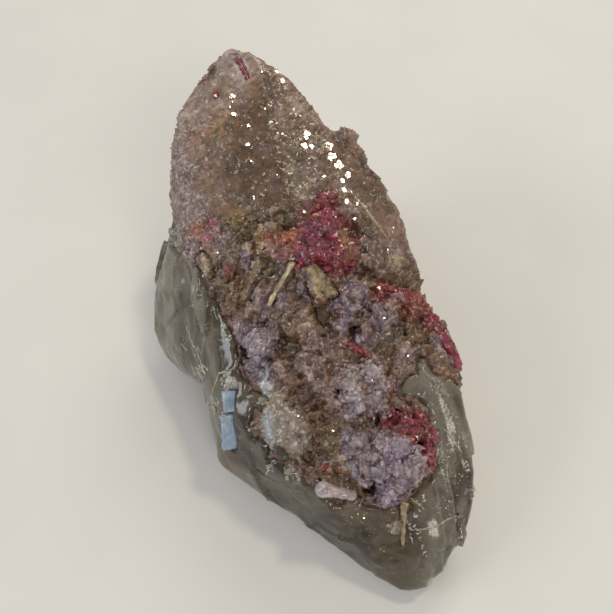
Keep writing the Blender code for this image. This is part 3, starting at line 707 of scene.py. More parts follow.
def quartz_material():
    """Smoky quartz: clear with brown absorption and a grey haze, silky growth streaks and frosted places."""
    material, tree, shader, output = new_material("smoky_quartz_glass")
    place, streaks = stretched_place(tree), stretched_place(tree, (1, 1, 0.14))
    tint = add_node(tree, "ShaderNodeAttribute", attribute_name="tint").outputs["Color"]
    frosted = add_node(tree, "ShaderNodeAttribute", attribute_name="frosted").outputs["Fac"]
    silk = noise_at(tree, streaks, 1.0, 5.0, 0.68)
    cloud = noise_at(tree, place, 5.0, 4.0, 0.6)
    grain = noise_at(tree, place, 0.7, 3.0, 0.6)
    ragged = noise_at(tree, streaks, 1.6, 5.0, 0.75)
    silky = mapped(tree, silk, 0.3, 0.7, 0.88, 1.1)
    cloudy = mapped(tree, cloud, 0.3, 0.7, 0.84, 1.14)
    colour = multiplied(tree, tint, silky, cloudy, mapped(tree, grain, 0.3, 0.7, 0.88, 1.1))
    scabs = mapped(tree, summed(tree, frosted, ragged), 1.0, 1.12, 0, 0.9)
    fleck = mapped(tree, cells_at(tree, place, 1.7).outputs["Distance"], 0.05, 0.14, 0.7, 0)
    for share in (fleck, scabs):
        colour = tint_going_to(tree, colour, share, MINERALS["frost"])
    polish = mapped(tree, noise_at(tree, place, 2.4), 0.35, 0.7, 0.02, 0.12)
    relief = summed(tree, silk, mapped(tree, scabs, 0, 1, 0, 0.5))
    looks = {
        "Base Color": colour,
        "Roughness": summed(tree, polish, mapped(tree, scabs, 0, 1, 0, 0.3)),
        "Normal": bumped(tree, relief, 0.3, 0.12),
        "IOR": 1.544,
        "Transmission Weight": 0.66,
        "Coat Weight": 0.25,
        "Coat Roughness": 0.03,
    }
    feed(tree, shader, looks)
    smoke = add_node(tree, "ShaderNodeVolumeAbsorption", {"Density": 46.0, "Color": (0.62, 0.48, 0.28, 1)})
    tree.links.new(smoke.outputs["Volume"], output.inputs["Volume"])
    return material


# ---- crystals


def hull_shape(corners):
    """The convex hull of some corners, as arrays of points and triangles."""
    bm = bmesh.new()
    for corner in corners:
        bm.verts.new(corner)
    hull = bmesh.ops.convex_hull(bm, input=bm.verts)
    loose = [v for v in hull["geom_interior"] if isinstance(v, bmesh.types.BMVert)]
    bmesh.ops.delete(bm, geom=loose, context="VERTS")
    bmesh.ops.triangulate(bm, faces=bm.faces)
    bmesh.ops.recalc_face_normals(bm, faces=bm.faces)
    bm.verts.index_update()
    points = np.array([tuple(v.co) for v in bm.verts])
    triangles = np.array([[v.index for v in f.verts] for f in bm.faces])
    bm.free()
    return points, triangles


def chip_shape(rng):
    """A broken blocky grain about 2 across."""
    corners = []
    for signs in itertools.product((-1, 1), repeat=3):
        jitter = Vector([rng.uniform(-0.4, 0.4) for _ in range(3)])
        corners.append(Vector(signs) * 0.72 + jitter)
    corners.append(Vector((rng.uniform(-0.4, 0.4), rng.uniform(-0.4, 0.4), 1.05)))
    return hull_shape([Vector((c.x, c.y, c.z * 0.8)) for c in corners])


def plate_shape(rng):
    """A six-sided mica plate about 2 across, a fifth as thick, with a stepped rim."""
    corners = []
    for side in range(6):
        angle, reach = math.radians(60 * side + rng.uniform(-9, 9)), rng.uniform(0.75, 1.1)
        for z, part in ((-0.2, 0.92), (0.0, 1.0), (0.2, 0.86)):
            corners.append((reach * part * math.cos(angle), reach * part * math.sin(angle), z))
    return hull_shape(corners)


def needle_shape(rng):
    """A rounded three-sided prism about 2 across and 6 long, with low ends, grooved lengthwise."""
    sides = 12
    ring = []
    for side in range(sides):
        angle = 2 * math.pi * side / sides
        reach = (1 + 0.12 * math.cos(3 * angle)) * (0.86 if side % 2 else 1.0)
        ring.append((reach * math.cos(angle), reach * math.sin(angle)))
    tip = (rng.uniform(-0.2, 0.2), rng.uniform(-0.2, 0.2), rng.uniform(3.2, 3.5))
    lean = rng.uniform(-0.3, 0.3)
    points = [(x, y, -3.0) for x, y in ring]
    points += [(x * 0.94, y * 0.94, 3.0 + lean * x) for x, y in ring] + [tip, (0, 0, -3.1)]
    triangles = []
    for side in range(sides):
        after = (side + 1) % sides
        triangles += [(side, after, sides + after), (side, sides + after, sides + side)]
        triangles += [(sides + side, sides + after, 2 * sides), (after, side, 2 * sides + 1)]
    return np.array(points), np.array(triangles)


def shapes_of(shape, count, seed):
    rng = random.Random(seed)
    return [shape(rng) for _ in range(count)]


CHIPS = shapes_of(chip_shape, 10, 61)
PLATELETS = shapes_of(plate_shape, 6, 62)
NEEDLES = shapes_of(needle_shape, 4, 63)


def turns_of(up, side):
    """Each crystal's own axes, from where its Z and about where its X points."""
    return np.stack([side, np.cross(up, side), up], axis=2)


def turned(outward, lean, rng):
    """A random turn for each crystal: its own Z leans off the normal by up to about the given amount."""
    up = unit(outward + lean * rng.normal(size=outward.shape) * 0.6)
    return turns_of(up, unit(np.cross(up, rng.normal(size=up.shape))))


def grown(build, shapes, places, turns, sizes, tints, rng, smooth=False):
    """Adds crystals of random shapes at the places. sizes has three numbers in mm for each crystal."""
    pick = rng.integers(0, len(shapes), len(places))
    for number, (points, triangles) in enumerate(shapes):
        chosen = np.flatnonzero(pick == number)
        scaled = points[None] * sizes[chosen][:, None, :] * MM
        moved = np.einsum("nij,nkj->nki", turns[chosen], scaled) + places[chosen][:, None, :]
        shift = (np.arange(len(chosen)) * len(points))[:, None, None]
        faces = (triangles[None] + shift).reshape(-1, 3)
        build.add(moved.reshape(-1, 3), faces, np.repeat(tints[chosen], len(points), axis=0), smooth)


def sizes_of(rng, count, low, high, stretch=(1, 1, 1), power=2.0):
    base = low + (high - low) * rng.random(count) ** power
    return base[:, None] * np.array(stretch) * (1 + 0.4 * (rng.random((count, 3)) - 0.5))


def strewn(build, shapes, tint, places, up, sizes, lean, sink, pale, rng, light, smooth=False):
    """Crystals at some places, each a little different in colour, pressed in by a share of its height."""
    colour = varied(tint, rng.random((len(tint), 3)), light, 0.06)
    white = rng.random(len(tint)) < pale
    colour[white] = over(colour[white], MINERALS["lilac_white"], 0.5)
    places = places - up * (sizes[:, 2:] * sink * MM)
    grown(build, shapes, places, turned(up, lean, rng), sizes, colour, rng, smooth)


def plain(mineral, count):
    """One mineral's colour for each of a number of crystals."""
    return np.tile(MINERALS[mineral], (count, 1))


# ---- the smoky quartz

finished = []  # the points and faces of what shows, which cracks and frost are laid on

# Frosted places: pixel, radius in pixels and strength.
FROSTED = [
    (174, 238, 11, 0.8), (180, 226, 7, 0.6), (163, 250, 8, 0.4), (194, 290, 5, 0.8), (184, 281, 3, 0.8),
    (192, 306, 2, 0.7), (200, 330, 3, 0.6), (186, 330, 9, 0.35), (196, 352, 9, 0.5), (200, 375, 8, 0.7),
    (176, 350, 10, 0.35), (224, 326, 5, 0.5), (228, 384, 9, 0.8), (212, 404, 8, 0.8), (220, 436, 5, 0.5),
    (252, 430, 10, 0.3), (268, 400, 8, 0.8), (264, 430, 6, 0.7), (292, 474, 9, 0.7), (300, 500, 14, 0.25),
    (436, 392, 15, 0.4), (450, 432, 14, 0.4), (446, 462, 12, 0.45), (456, 486, 10, 0.45),
    (448, 515, 14, 0.25), (396, 526, 8, 0.6), (420, 372, 14, 0.4), (400, 545, 12, 0.25),
    (430, 560, 12, 0.3),
]

# Flakes sealed in the quartz: pixel, radius in pixels, number, and greatest depth in mm.
SEALED = [
    (180, 262, 26, 90, 3.0), (178, 310, 30, 120, 3.5), (205, 300, 22, 90, 4.0), (190, 345, 18, 60, 2.5),
    (250, 440, 24, 60, 2.5), (330, 520, 34, 90, 3.0), (300, 505, 20, 50, 2.0), (436, 410, 24, 60, 2.0),
    (446, 460, 24, 60, 2.0), (430, 505, 28, 70, 2.5), (400, 550, 34, 90, 3.5),
]


def squeezed(points, first, last, share):
    """The points squeezed along the line between two pixels, so that noise on them is drawn out along it."""
    along = direction_between(first, last)
    return points - np.outer(points @ along, along) * (1 - share)


def direction_between(first, last):
    along = cast(*last)[0] - cast(*first)[0]
    return along / np.linalg.norm(along)


def quartz_tint(points, shards, veil):
    colour = drifting(points, MINERALS["glass"], MINERALS["deep_glass"], 9.0, 46, 0.4)
    colour = patched(colour, points, QUARTZ_PATCHES, 0.9, 300)
    colour = over(colour, MINERALS["haze"], (0.65 * veil)[:, None])
    foot = (1 - ramp(points[:, 2] / MM, 1.0, 6.0))[:, None] * 0.4
    colour = over(colour, MINERALS["haze"], foot)
    fine = fractal(points, 1.6, 48)[:, None]
    return np.clip(colour * (0.68 + 0.64 * shards[:, :1]) * (1 + 0.22 * fine), 0, 1)


def make_quartz():
    """The quartz, with low shell-shaped breaks and, on its right flank, drawn-out broken ledges."""
    mesh = remeshed(closed_stone.copy(), QUARTZ_GRID, 10)
    points, outward = surface_of(mesh)
    granular, bare = zones(points, outward)
    plates = near_nodes(plate_tree, points, 0.9)
    chips, _ = facets(points, 12.0, 40, 1.6, 0.0)
    shards, shard_numbers = facets(squeezed(points, (180, 240), (188, 330), 0.4), 3.6, 42, 1.8, 0.0)
    ripple = np.sin(fractal(points, 18.0, 41) * 30) * 0.05
    relief = 0.9 * (chips - 0.5) + 0.14 * (shards - 0.5) + ripple + 0.05 * fractal(points, 2.2, 43)
    right = ramp(points[:, 0] / MM, 22, 30) * ramp(-points[:, 1] / MM, 6, 16)
    drawn_out = squeezed(points, (430, 385), (462, 500), 0.14)
    wave = smooth_noise(drawn_out, 6.0, 44) + 0.35 * smooth_noise(drawn_out, 2.8, 45)
    crest = np.exp(-((wave / 0.4) ** 2))
    steps, step_numbers = facets(drawn_out, 3.4, 44, 1.8, 0.0)
    seams = np.exp(-((cells(drawn_out, 3.4, 44)[2] / 0.14) ** 2)) * ramp(wave, -0.4, 0.2)
    ledges = 0.8 * crest + 0.4 * wave + 1.5 * (steps - 0.5) - 0.4
    relief = relief * (1 - right) + right * ledges
    numbers = shard_numbers * (1 - right)[:, None] * 0.4 + 0.3 + (0.7 * step_numbers - 0.2) * right[:, None]
    pale_steps = 0.6 * ramp(step_numbers[:, 1], 0.5, 0.8)
    veil = right * np.max((0.9 * ramp(crest, 0.5, 0.95), seams, pale_steps), axis=0)
    sink = np.maximum(granular * 3.4, plates * 0.8) + bare * 0.9
    points = points + outward * ((relief * (1 - granular) - sink) * MM)[:, None]
    points[:, 2] = np.maximum(points[:, 2], 0)
    finished.append((points, faces_of(mesh)))
    build = Build()
    build.add(points, faces_of(mesh), quartz_tint(points, numbers, veil))
    piece = build.finish("smoky_quartz", quartz_material(), "smoky_quartz", "quartz_body")
    frosted = 0.52 * veil
    for number, (u, v, radius, strength) in enumerate(FROSTED, start=330):
        frosted = np.maximum(frosted, strength * blob(points, u, v, radius, 0.6, number))
    layer = piece.data.attributes.new("frosted", "FLOAT", "POINT")
    layer.data.foreach_set("value", frosted.astype(np.float32))


def make_sealed():
    """Small pale flakes and bubbles a little under the surface of the quartz."""
    rng, build = np.random.default_rng(134), Build()
    places, up = [], []
    for u, v, radius, count, depth in SEALED:
        for place, normal in around(skin_tree, u, v, radius, count, rng):
            places.append(place - normal * rng.uniform(1.2, 1.2 + depth) * MM)
            up.append(normal)
    places, up = np.array(places), np.array(up)
    sizes = sizes_of(rng, len(up), 0.1, 0.45, (1, 0.8, 0.8), 3.0)
    strewn(build, PLATELETS, plain("frost", len(up)), places, up, sizes, 0.8, 0, 0, rng, 0.1)
    build.finish("sealed_flakes", frost_skin, "milky_quartz")


# ---- the granular surface

# Each kind of cluster: its slot, its material, how high its crystals are for their width, and how each
# shape of them grows: in what proportions, how it leans and sinks, how its light varies, and if it is smooth.
KINDS = {
    "mica": (
        "lepidolite", lavender_mica, 0.9,
        (CHIPS, 1, 0.7, 0.55, 0.24, True), (PLATELETS, (0.8, 0.8, 1.2), 1.0, 0.4, 0.3, False),
    ),
    "rubellite": (
        "tourmaline", rubellite, 1,
        (CHIPS, 1.4, 0.8, 0.6, 0.26, False), (NEEDLES, (0.45, 0.45, 0.4), 1.4, 1.8, 0.3, False),
    ),
    "grains": ("stained_feldspar", crust_coarse, 1, (CHIPS, 1, 0.8, 0.6, 0.25, False)),
    "milky": ("milky_quartz", milky_glass, 1, (CHIPS, 1, 0.8, 0.6, 0.25, False)),
}

# Each cluster: its two minerals, its kind, the number of its crystals, their sizes in mm, and how many
# are pale.
CLUSTERS = {
    "lepidolite_near": ("lavender", "lilac", "mica", 620, (0.45, 1.3), 0.14),
    "lepidolite_left": ("lavender", "lilac", "mica", 300, (0.4, 1.15), 0.2),
    "lepidolite_middle": ("lilac", "pink", "mica", 340, (0.4, 1.2), 0.2),
    "lepidolite_right": ("lavender", "pink", "mica", 260, (0.35, 1.0), 0.12),
    "tourmaline_main": ("magenta", "red", "rubellite", 800, (0.2, 0.8), 0.03),
    "tourmaline_nub": ("red", "magenta", "rubellite", 90, (0.2, 0.7), 0.03),
    "tourmaline_left": ("coral", "lilac", "rubellite", 150, (0.15, 0.5), 0.12),
    "tourmaline_right": ("coral", "red", "rubellite", 260, (0.18, 0.6), 0.08),
    "tourmaline_near": ("red", "magenta", "rubellite", 300, (0.25, 0.9), 0.03),
    "feldspar_grains": ("ochre", "grey", "grains", 260, (0.3, 0.9), 0.06),
    "milky_lens": ("milky", "milky_shade", "milky", 24, (0.3, 0.9), 0.2),
}

# Hollows and mounds between the clusters: pixel, radius in pixels and height in mm.
HOLLOWS = [
    (286, 346, 13, -1.5), (326, 322, 14, -1.5), (272, 270, 10, -0.5), (302, 392, 12, -1.1),
    (322, 444, 12, -0.8), (318, 414, 9, -1.1), (374, 420, 8, -0.8), (304, 460, 9, -1.2), (352, 330, 8, 0.9),
    (386, 348, 9, -1.2), (238, 276, 7, -1.0), (352, 276, 10, -0.7), (286, 222, 12, -1.0),
    (352, 232, 8, -1.0), (262, 322, 8, -1.0), (300, 300, 8, -0.9), (330, 366, 8, -1.2), (246, 230, 7, -0.8),
    (370, 300, 8, -1.0), (400, 330, 7, -1.0), (254, 346, 12, 1.0), (252, 300, 12, 0.9), (272, 300, 8, 0.7),
    (330, 282, 10, 0.6), (352, 300, 10, 0.8), (366, 334, 9, 0.8), (350, 396, 12, 0.9), (376, 374, 10, 0.8),
    (276, 372, 10, 0.8), (306, 350, 7, 0.7), (408, 350, 10, 0.6), (276, 250, 9, 0.7), (310, 372, 7, 0.8),
    (384, 322, 9, 0.7),
]

# Knobs and notches of the slope's outline, as above.
RIDGE = [(231, 55, 6, 1.2), (206, 74, 9, -1.2), (347, 137, 8, 1.6), (368, 168, 9, -1.4)]


def belonging(node, points):
    """How far each point is from a cluster in mm, and how much it takes the cluster's colour."""
    away = distance_to(tree_of(node), points, 4.0)
    ragged = 0.9 * smooth_noise(points, 1.7, 60) + 0.6 * smooth_noise(points, 0.8, 61)
    return away, (1 - ramp(away + ragged, 0.2, 2.0)) * (away < 3.9)


def surface_relief(points, slope):
    """Height in mm of the grains over the plain skin, and each grain's random numbers."""
    broad, _ = facets(points, 2.4, 56, 1.5, 0.04)
    fine, first = facets(points, 1.1, 50, 1.2, 0.1)
    low = 0.45 * (broad - 0.5) + 0.3 * (fine - 0.5) + 0.5 * fractal(points, 6.0, 52)
    lumps, _ = facets(points, 3.4, 53, 1.5, 0.1)
    middling, second = facets(points, 1.7, 54, 1.5, 0.1)
    small, third = facets(points, 1.0, 58, 1.3, 0.1)
    high = 1.8 * (lumps - 0.5) + 1.0 * (middling - 0.5) + 0.5 * (small - 0.5) + 1.3 * fractal(points, 7.0, 55)
    numbers = np.where(slope[:, None] > 0.5, first, 0.6 * second + 0.4 * third)
    return low * slope + high * (1 - slope), numbers


def paint_pit_shade_and_crest_highlight(tint, height, slope, red, mica):
    """Painted shade in the pits, amber or violet in mica, and a painted highlight on the crests, but less so
    on the slope and on red.
    """
    mica = np.clip(mica, 0, 1)[:, None]
    low = MINERALS["pit_shade_amber"] * (1 - mica) + MINERALS["mica_pit_shade_violet"] * mica
    high = MINERALS["lilac_white"] * (1 - mica) + MINERALS["mica_crest_highlight"] * mica
    rough = (1 - slope)[:, None]
    pit_shade_share = (1 - ramp(height, -2.0, 0.2))[:, None] * (0.1 + 0.8 * rough)
    crest = (ramp(height, 0.2, 1.8) * (1 - 0.9 * np.clip(red, 0, 1)))[:, None] * 0.4 * rough
    return over(over(tint, 0.5 * low + 0.12 * tint, pit_shade_share), high, crest)


def make_granular():
    """The crust and the clusters, sculpted as one surface and then split. It returns the crust's grains."""
    points, outward, quads = skin_points, skin_normals, faces_of(skin)
    granular, _ = zones(points, outward)
    quads = quads[(granular > 0.002)[quads].all(axis=1)]
    points, quads, outward, granular = used_only(points, quads, outward, granular)
    slope = 1 - ramp(distance_to(slope_tree, points, 2.5), 0.4, 2.4)
    height, numbers = surface_relief(points, slope)
    plates = near_nodes(plate_tree, points, 1.1)
    for number, (u, v, radius, rise) in enumerate(HOLLOWS, start=400):
        height = height + rise * blob(points, u, v, radius, 0.7, number) * (1 - slope)
    for number, (u, v, radius, rise) in enumerate(RIDGE, start=450):
        height = height + rise * blob(points, u, v, radius, 0.5, number)
    height = height * (1 - 0.6 * belonging("milky_lens", points)[1])
    sink = (1 - granular) * 1.6 + plates * 0.85 + 0.4 * near_nodes(prism_tree, points, 0.6)
    raised = height * granular * (1 - 0.5 * plates) - sink
    moved = points + outward * (raised * MM)[:, None]
    owner, closest = np.where(slope > 0.5, 0, 1), np.full(len(points), 0.9)
    shares = {}
    tint = crust_tint(points)
    for number, (node, (first, second, *_)) in enumerate(CLUSTERS.items(), start=2):
        away, share = belonging(node, points)
        owner = np.where(away < closest, number, owner)
        closest = np.minimum(closest, away)
        own = drifting(points, MINERALS[first], MINERALS[second], 2.6, 90 + number)
        tint = over(tint, own, (share * 0.9)[:, None])
        shares[node] = share
    tint = stained(tint, points)
    blotch = fractal(points, 3.0, 62)
    tint = over(tint, MINERALS["lilac"], (0.28 * ramp(blotch, 0.05, 0.5) * slope)[:, None])
    tint = over(tint, MINERALS["brown"], (0.5 * ramp(-blotch, 0.05, 0.5) * slope)[:, None])
    speckle = 0.36 * fractal(points, 2.4, 59, 2) + 0.3 * smooth_noise(points, 0.9, 64)
    tint = tint * (1 + speckle * slope)[:, None]
    calm = (1 - 0.55 * slope)[:, None]
    tint = varied(tint, 0.45 + (numbers - 0.45) * calm, 0.32, 0.06)
    red = sum(shares[node] for node, row in CLUSTERS.items() if row[2] == "rubellite")
    mica = sum(shares[node] for node, row in CLUSTERS.items() if row[2] == "mica")
    # Painted shade in the hollows and a painted highlight on the crests, from the height of the grains.
    tint = paint_pit_shade_and_crest_highlight(tint, height + 0.25 * mica, slope, red, mica)
    finished.append((moved, quads))
    make_pieces(moved, outward, quads, tint, owner, plates, shares)
    return moved, outward, tint


def make_pieces(moved, outward, quads, tint, owner, plates, shares):
    """Splits the granular surface between the crust and the clusters, and strews the crystals of each."""

    def grow(build, chosen, sizes, *looks):
        strewn(build, CHIPS, tint[chosen], moved[chosen], outward[chosen], sizes, *looks)

    def shell_of(part):
        build = Build()
        build.add_shell(*used_only(moved, part, outward, tint))
        return build

    names = ["crust_slope", "crust_middle", *CLUSTERS]
    counts = np.stack([(owner == number)[quads].sum(axis=1) for number in range(len(names))])
    face_owner = counts.argmax(axis=0)
    for number, name in enumerate(names):
        part = quads[face_owner == number]
        rng, grains = np.random.default_rng(700 + number), Build()
        if name == "crust_slope":
            shell_of(part).finish(name, crust_fine, "lepidolite_crust", "lepidolite_slope")
            chosen = rng.choice(np.flatnonzero((owner == 0) & (plates < 0.3)), SLOPE_GRAINS, replace=False)
            sizes = sizes_of(rng, len(chosen), 0.35, 0.85, (1, 1, 0.7))
            for third in range(3):
                grow(grains, chosen[third::3], sizes[third::3], 0.4, 0.74, 0.1, rng, 0.2, third > 0)
            grains.finish("slope_grains", crust_fine, "lepidolite_crust")
        elif name == "crust_middle":
            # It is in two pieces, because each may have no more than 200,000 triangles.
            away = moved[part, 1].mean(axis=1)
            far = away >= np.median(away)
            shell_of(part[~far]).finish("crust_near", crust_coarse, "lepidolite")
            shell_of(part[far]).finish(name, crust_coarse, "lepidolite")
            chosen = rng.choice(np.flatnonzero((owner == 1) & (plates < 0.8)), MIDDLE_GRAINS, replace=False)
            sizes = sizes_of(rng, len(chosen), 0.22, 1.2, (1, 1, 0.85), 3.0)
            for half in range(2):
                size = sizes[: MIDDLE_GRAINS // 2]
                grow(grains, chosen[half::2], size, 0.9, 0.55, 0.12, rng, 0.4, half == 0)
            grains.finish("crust_crystals", glassy_grains, "lepidolite")
        else:
            make_cluster(shell_of(part), name, tint, moved, outward, shares[name], plates, rng)


def make_cluster(build, node, tint, points, outward, share, plates, rng):
    """The crystals of one cluster, which stray a little beyond it. Of two shapes, the first is commoner."""
    _, _, kind, count, (small, big), pale = CLUSTERS[node]
    slot, material, high, *growths = KINDS[kind]
    able = np.flatnonzero((share > 0.15 + 0.6 * rng.random(len(points))) & (plates < 0.9))
    chosen = rng.choice(able, min(count, len(able)), replace=False)
    sizes = sizes_of(rng, len(chosen), small, big, (1, 1, high))
    half = len(chosen) // 2
    first = half + half // 2 if len(growths) > 1 else len(chosen)
    for part, (shapes, stretch, lean, sink, *look) in zip((slice(first), slice(first, None)), growths):
        pick, size = chosen[part], sizes[part] * np.array(stretch)
        where = tint[pick], points[pick], outward[pick]
        strewn(build, shapes, *where, size, lean, sink, pale, rng, *look)
    build.finish(f"{node}_crystals", material, slot, node)


# ---- what lies on the surface

# Crystal faces polished and turned so that they mirror the lamp: pixel and radius in pixels.
GLINTS = [
    (277.5, 71, 3), (282, 81, 2.6), (262, 72, 1.4), (232, 96, 3.2), (233, 101, 2), (230, 107, 1.4),
    (234, 115, 2.2), (249, 126, 2), (307, 135, 4.6), (304, 146, 3), (312, 147, 2.2), (329, 147, 4.4),
    (332, 157, 4.6), (339, 165, 4.8), (347, 175, 3), (342, 181, 2.4), (344, 190, 2.8), (351, 192, 1.6),
    (347, 202, 2.6), (356, 204, 2.1), (354, 219, 2), (248, 145, 2.2), (324, 177, 1.8), (265, 109, 1.2),
    (282, 134, 1.4), (254, 197, 1.6), (304, 212, 1.8), (251, 161, 1), (277, 175, 1.1), (300, 116, 1),
    (254, 199, 1.2), (313, 352, 1.4), (345, 415, 1.6), (372, 380, 1.4), (240, 300, 1.2), (282, 345, 1.1),
    (333, 431, 1.3), (384, 318, 1.2), (296, 268, 1.1), (352, 380, 1.5), (389, 402, 1.2), (318, 300, 1),
    (262, 345, 1.2), (357, 460, 1.3), (375, 440, 1.2), (326, 484, 1.2), (299, 452, 1), (408, 356, 1.2),
    (352, 517, 1.2), (358, 514, 1), (364, 518, 1.2), (371, 515, 1), (361, 522, 1), (347, 511, 0.9),
]

# Healed cracks and pale rims: the mineral, the width in mm and the pixels along each.
CRACKS = [
    ("cream", 1.5, (350, 192), (358, 201), (366, 210), (374, 220), (382, 231), (389, 241)),
    ("cream", 0.8, (190, 236), (196, 247), (201, 257), (206, 265), (211, 276)),
    ("frost", 0.7, (217, 308), (221, 320), (224, 335)),
    ("haze", 0.6, (186, 324), (190, 337), (196, 350), (204, 371)), ("haze", 0.6, (181, 343), (188, 352)),
    ("haze", 0.7, (240, 354), (237, 364), (229, 372), (219, 373), (215, 384), (212, 394)),
    ("haze", 0.8, (212, 394), (214, 408), (216, 420)),
    ("ice", 1.6, (267, 374), (264, 392), (266, 410), (270, 430), (274, 452)),
    ("frost", 0.5, (274, 459), (269, 468), (265, 478)), ("haze", 0.5, (403, 354), (421, 366), (434, 381)),
    ("haze", 0.7, (412, 359), (425, 372), (439, 388), (449, 398)),
    ("haze", 0.8, (443, 428), (454, 441), (463, 455)), ("haze", 0.9, (437, 378), (443, 388), (450, 398)),
    ("frost", 0.7, (448, 431), (455, 443), (462, 453)), ("haze", 0.7, (442, 440), (440, 452), (438, 464)),
    ("haze", 0.7, (447, 464), (447, 475), (450, 488)), ("haze", 0.8, (441, 450), (439, 463), (445, 481)),
    ("haze", 0.9, (403, 514), (412, 530), (434, 528), (448, 519), (463, 514)),
    ("haze", 1.0, (388, 523), (391, 529), (401, 523)), ("cream", 0.9, (410, 498), (419, 504), (425, 510)),
]

# Broken steps of quartz: pixel, radius in pixels, number, size in mm, how long for their width, and
# the two pixels that their long side runs between.
SHARDS = [
    (394, 527, 6, 10, 1.6, 1.8, (388, 524), (412, 532)),
    (226, 381, 6, 22, 0.8, 1.5, (240, 356), (214, 394)),
    (213, 405, 6, 14, 0.8, 1.8, (212, 394), (216, 420)),
    (268, 400, 8, 30, 1.1, 2.8, (266, 372), (266, 432)), (291, 474, 6, 8, 1.6, 3.0, (290, 458), (294, 490)),
    (200, 372, 9, 14, 1.0, 2.0, (190, 356), (206, 384)),
]

# Frost on the quartz: pixel, radius in pixels, number of flakes and their size in mm.
FROST = [
    (174, 238, 8, 130, 0.4), (180, 226, 5, 40, 0.3), (163, 246, 5, 24, 0.3), (194, 289, 3.4, 44, 0.35),
    (183, 281, 2.4, 16, 0.3), (192, 306, 1.5, 7, 0.3), (196, 300, 12, 14, 0.16), (208, 330, 14, 18, 0.15),
    (180, 340, 14, 22, 0.2), (198, 372, 6, 40, 0.35), (224, 326, 3, 22, 0.3), (228, 338, 3, 16, 0.3),
    (230, 382, 6, 44, 0.3), (214, 402, 5, 30, 0.3), (267, 396, 4, 60, 0.35), (264, 418, 4, 50, 0.35),
    (274, 448, 3, 20, 0.3), (270, 468, 4, 20, 0.3), (292, 470, 6, 24, 0.35), (250, 440, 16, 30, 0.2),
    (436, 386, 10, 24, 0.25), (452, 422, 9, 24, 0.3), (444, 450, 9, 30, 0.3), (456, 478, 7, 20, 0.3),
    (440, 508, 12, 24, 0.25), (458, 520, 7, 20, 0.25), (392, 526, 6, 20, 0.3), (420, 372, 10, 24, 0.25),
    (355, 515, 12, 26, 0.2), (380, 540, 24, 30, 0.16), (330, 520, 24, 22, 0.16),
]


def finished_tree():
    points, faces, start = [], [], 0
    for corners, quads in finished:
        points.append(corners)
        faces.append(quads + start)
        start += len(corners)
    return tree_from(np.concatenate(points), np.concatenate(faces))


def make_glints(tree, grains, grain_normals, grain_tint):
    """Polished faces: the ones that mirror the lamp, and others strewn over the grains."""
    rng, build = np.random.default_rng(133), Build()
    places, up, sizes = [], [], []
    for u, v, radius in GLINTS:
        count = max(1, round((radius / 1.5) ** 2))
        for place, _ in around(tree, u, v, max(0.0, radius - 1.2), count, rng):
            place = Vector(place)
            half = (LAMP_PLACE - place).normalized() + (CAMERA_PLACE - place).normalized()
            half = np.array(half.normalized())
            size = min(radius, 2.4) * 0.27 * rng.uniform(0.7, 1.15)
            places.append(np.array(place) + half * 0.05 * MM)
            up.append(half)
            sizes.append((size, size * rng.uniform(0.6, 1.0), size * 1.4))
    places, up, sizes = np.array(places), np.array(up), np.array(sizes)
    colour = varied(plain("mauve_pale", len(up)), rng.random((len(up), 3)), 0.2, 0.05)
    grown(build, PLATELETS, places, turned(up, 0.035, rng), sizes, colour, rng)
    pick = rng.choice(len(grains), STREWN_FACES, replace=False)
    sizes = sizes_of(rng, len(pick), 0.12, 0.45, (1, 0.8, 1.4))
    towards = np.array(LAMP_TOWARDS + Vector((0, -0.5, 0.85)))
    turns = turned(unit(grain_normals[pick] + 0.8 * towards), 0.3, rng)
    colour = varied(grain_tint[pick] * 1.2, rng.random((len(pick), 3)), 0.35, 0.12)
    grown(build, PLATELETS, grains[pick], turns, sizes, colour, rng)
    build.finish("polished_faces", polished_face, "lepidolite_crust")


def crack_line(tree, pixels, rng):
    """The places along a line of pixels, a little shaken, and the normals there."""
    places = []
    for (u0, v0), (u1, v1) in zip(pixels, pixels[1:]):
        steps = max(2, int(math.hypot(u1 - u0, v1 - v0) / 1.4))
        for step in range(steps):
            part = step / steps
            jitter = rng.normal(size=2) * 0.3
            found = lie_on(tree, u0 + (u1 - u0) * part + jitter[0], v0 + (v1 - v0) * part + jitter[1])
            if found:
                places.append(found)
    return np.array(places).transpose(1, 0, 2)


def make_cracks(tree):
    """Thin raised seams of another mineral, each a ragged closed strip on the surface."""
    rng, build = np.random.default_rng(131), Build()
    for mineral, width, *pixels in CRACKS:
        lift = (0.4 if mineral == "cream" else 0.2) * MM
        line, up = crack_line(tree, pixels, rng)
        side = np.cross(np.gradient(line, axis=0), up)
        side /= np.linalg.norm(side, axis=1)[:, None] + 1e-12
        ends = np.sin(np.linspace(0.12, math.pi - 0.12, len(line))) ** 0.5
        half = side * (width * 0.5 * MM * (ends * rng.uniform(0.45, 1.35, len(line)))[:, None])
        rails = (line + half - up * lift, line + up * lift, line - half - up * lift, line - up * 4 * lift)
        corners = np.arange(4 * (len(line) - 1)).reshape(-1, 4)
        after = np.roll(corners, -1, axis=1)
        sides = np.stack([corners, after, after + 4, corners, after + 4, corners + 4], axis=2).reshape(-1, 3)
        end = corners.size
        caps = [(0, 2, 1), (0, 3, 2), (end, end + 1, end + 2), (end, end + 2, end + 3)]
        shade = rng.uniform(0.8, 1.1, (len(line), 1, 1)) * (0.8 if mineral == "haze" else 1.0)
        colour = np.clip(MINERALS[mineral] * shade, 0, 1).repeat(4, axis=1).reshape(-1, 3)
        build.add(np.stack(rails, axis=1).reshape(-1, 3), np.concatenate([sides, caps]), colour)
    build.finish("healed_cracks", frost_skin, "milky_quartz")


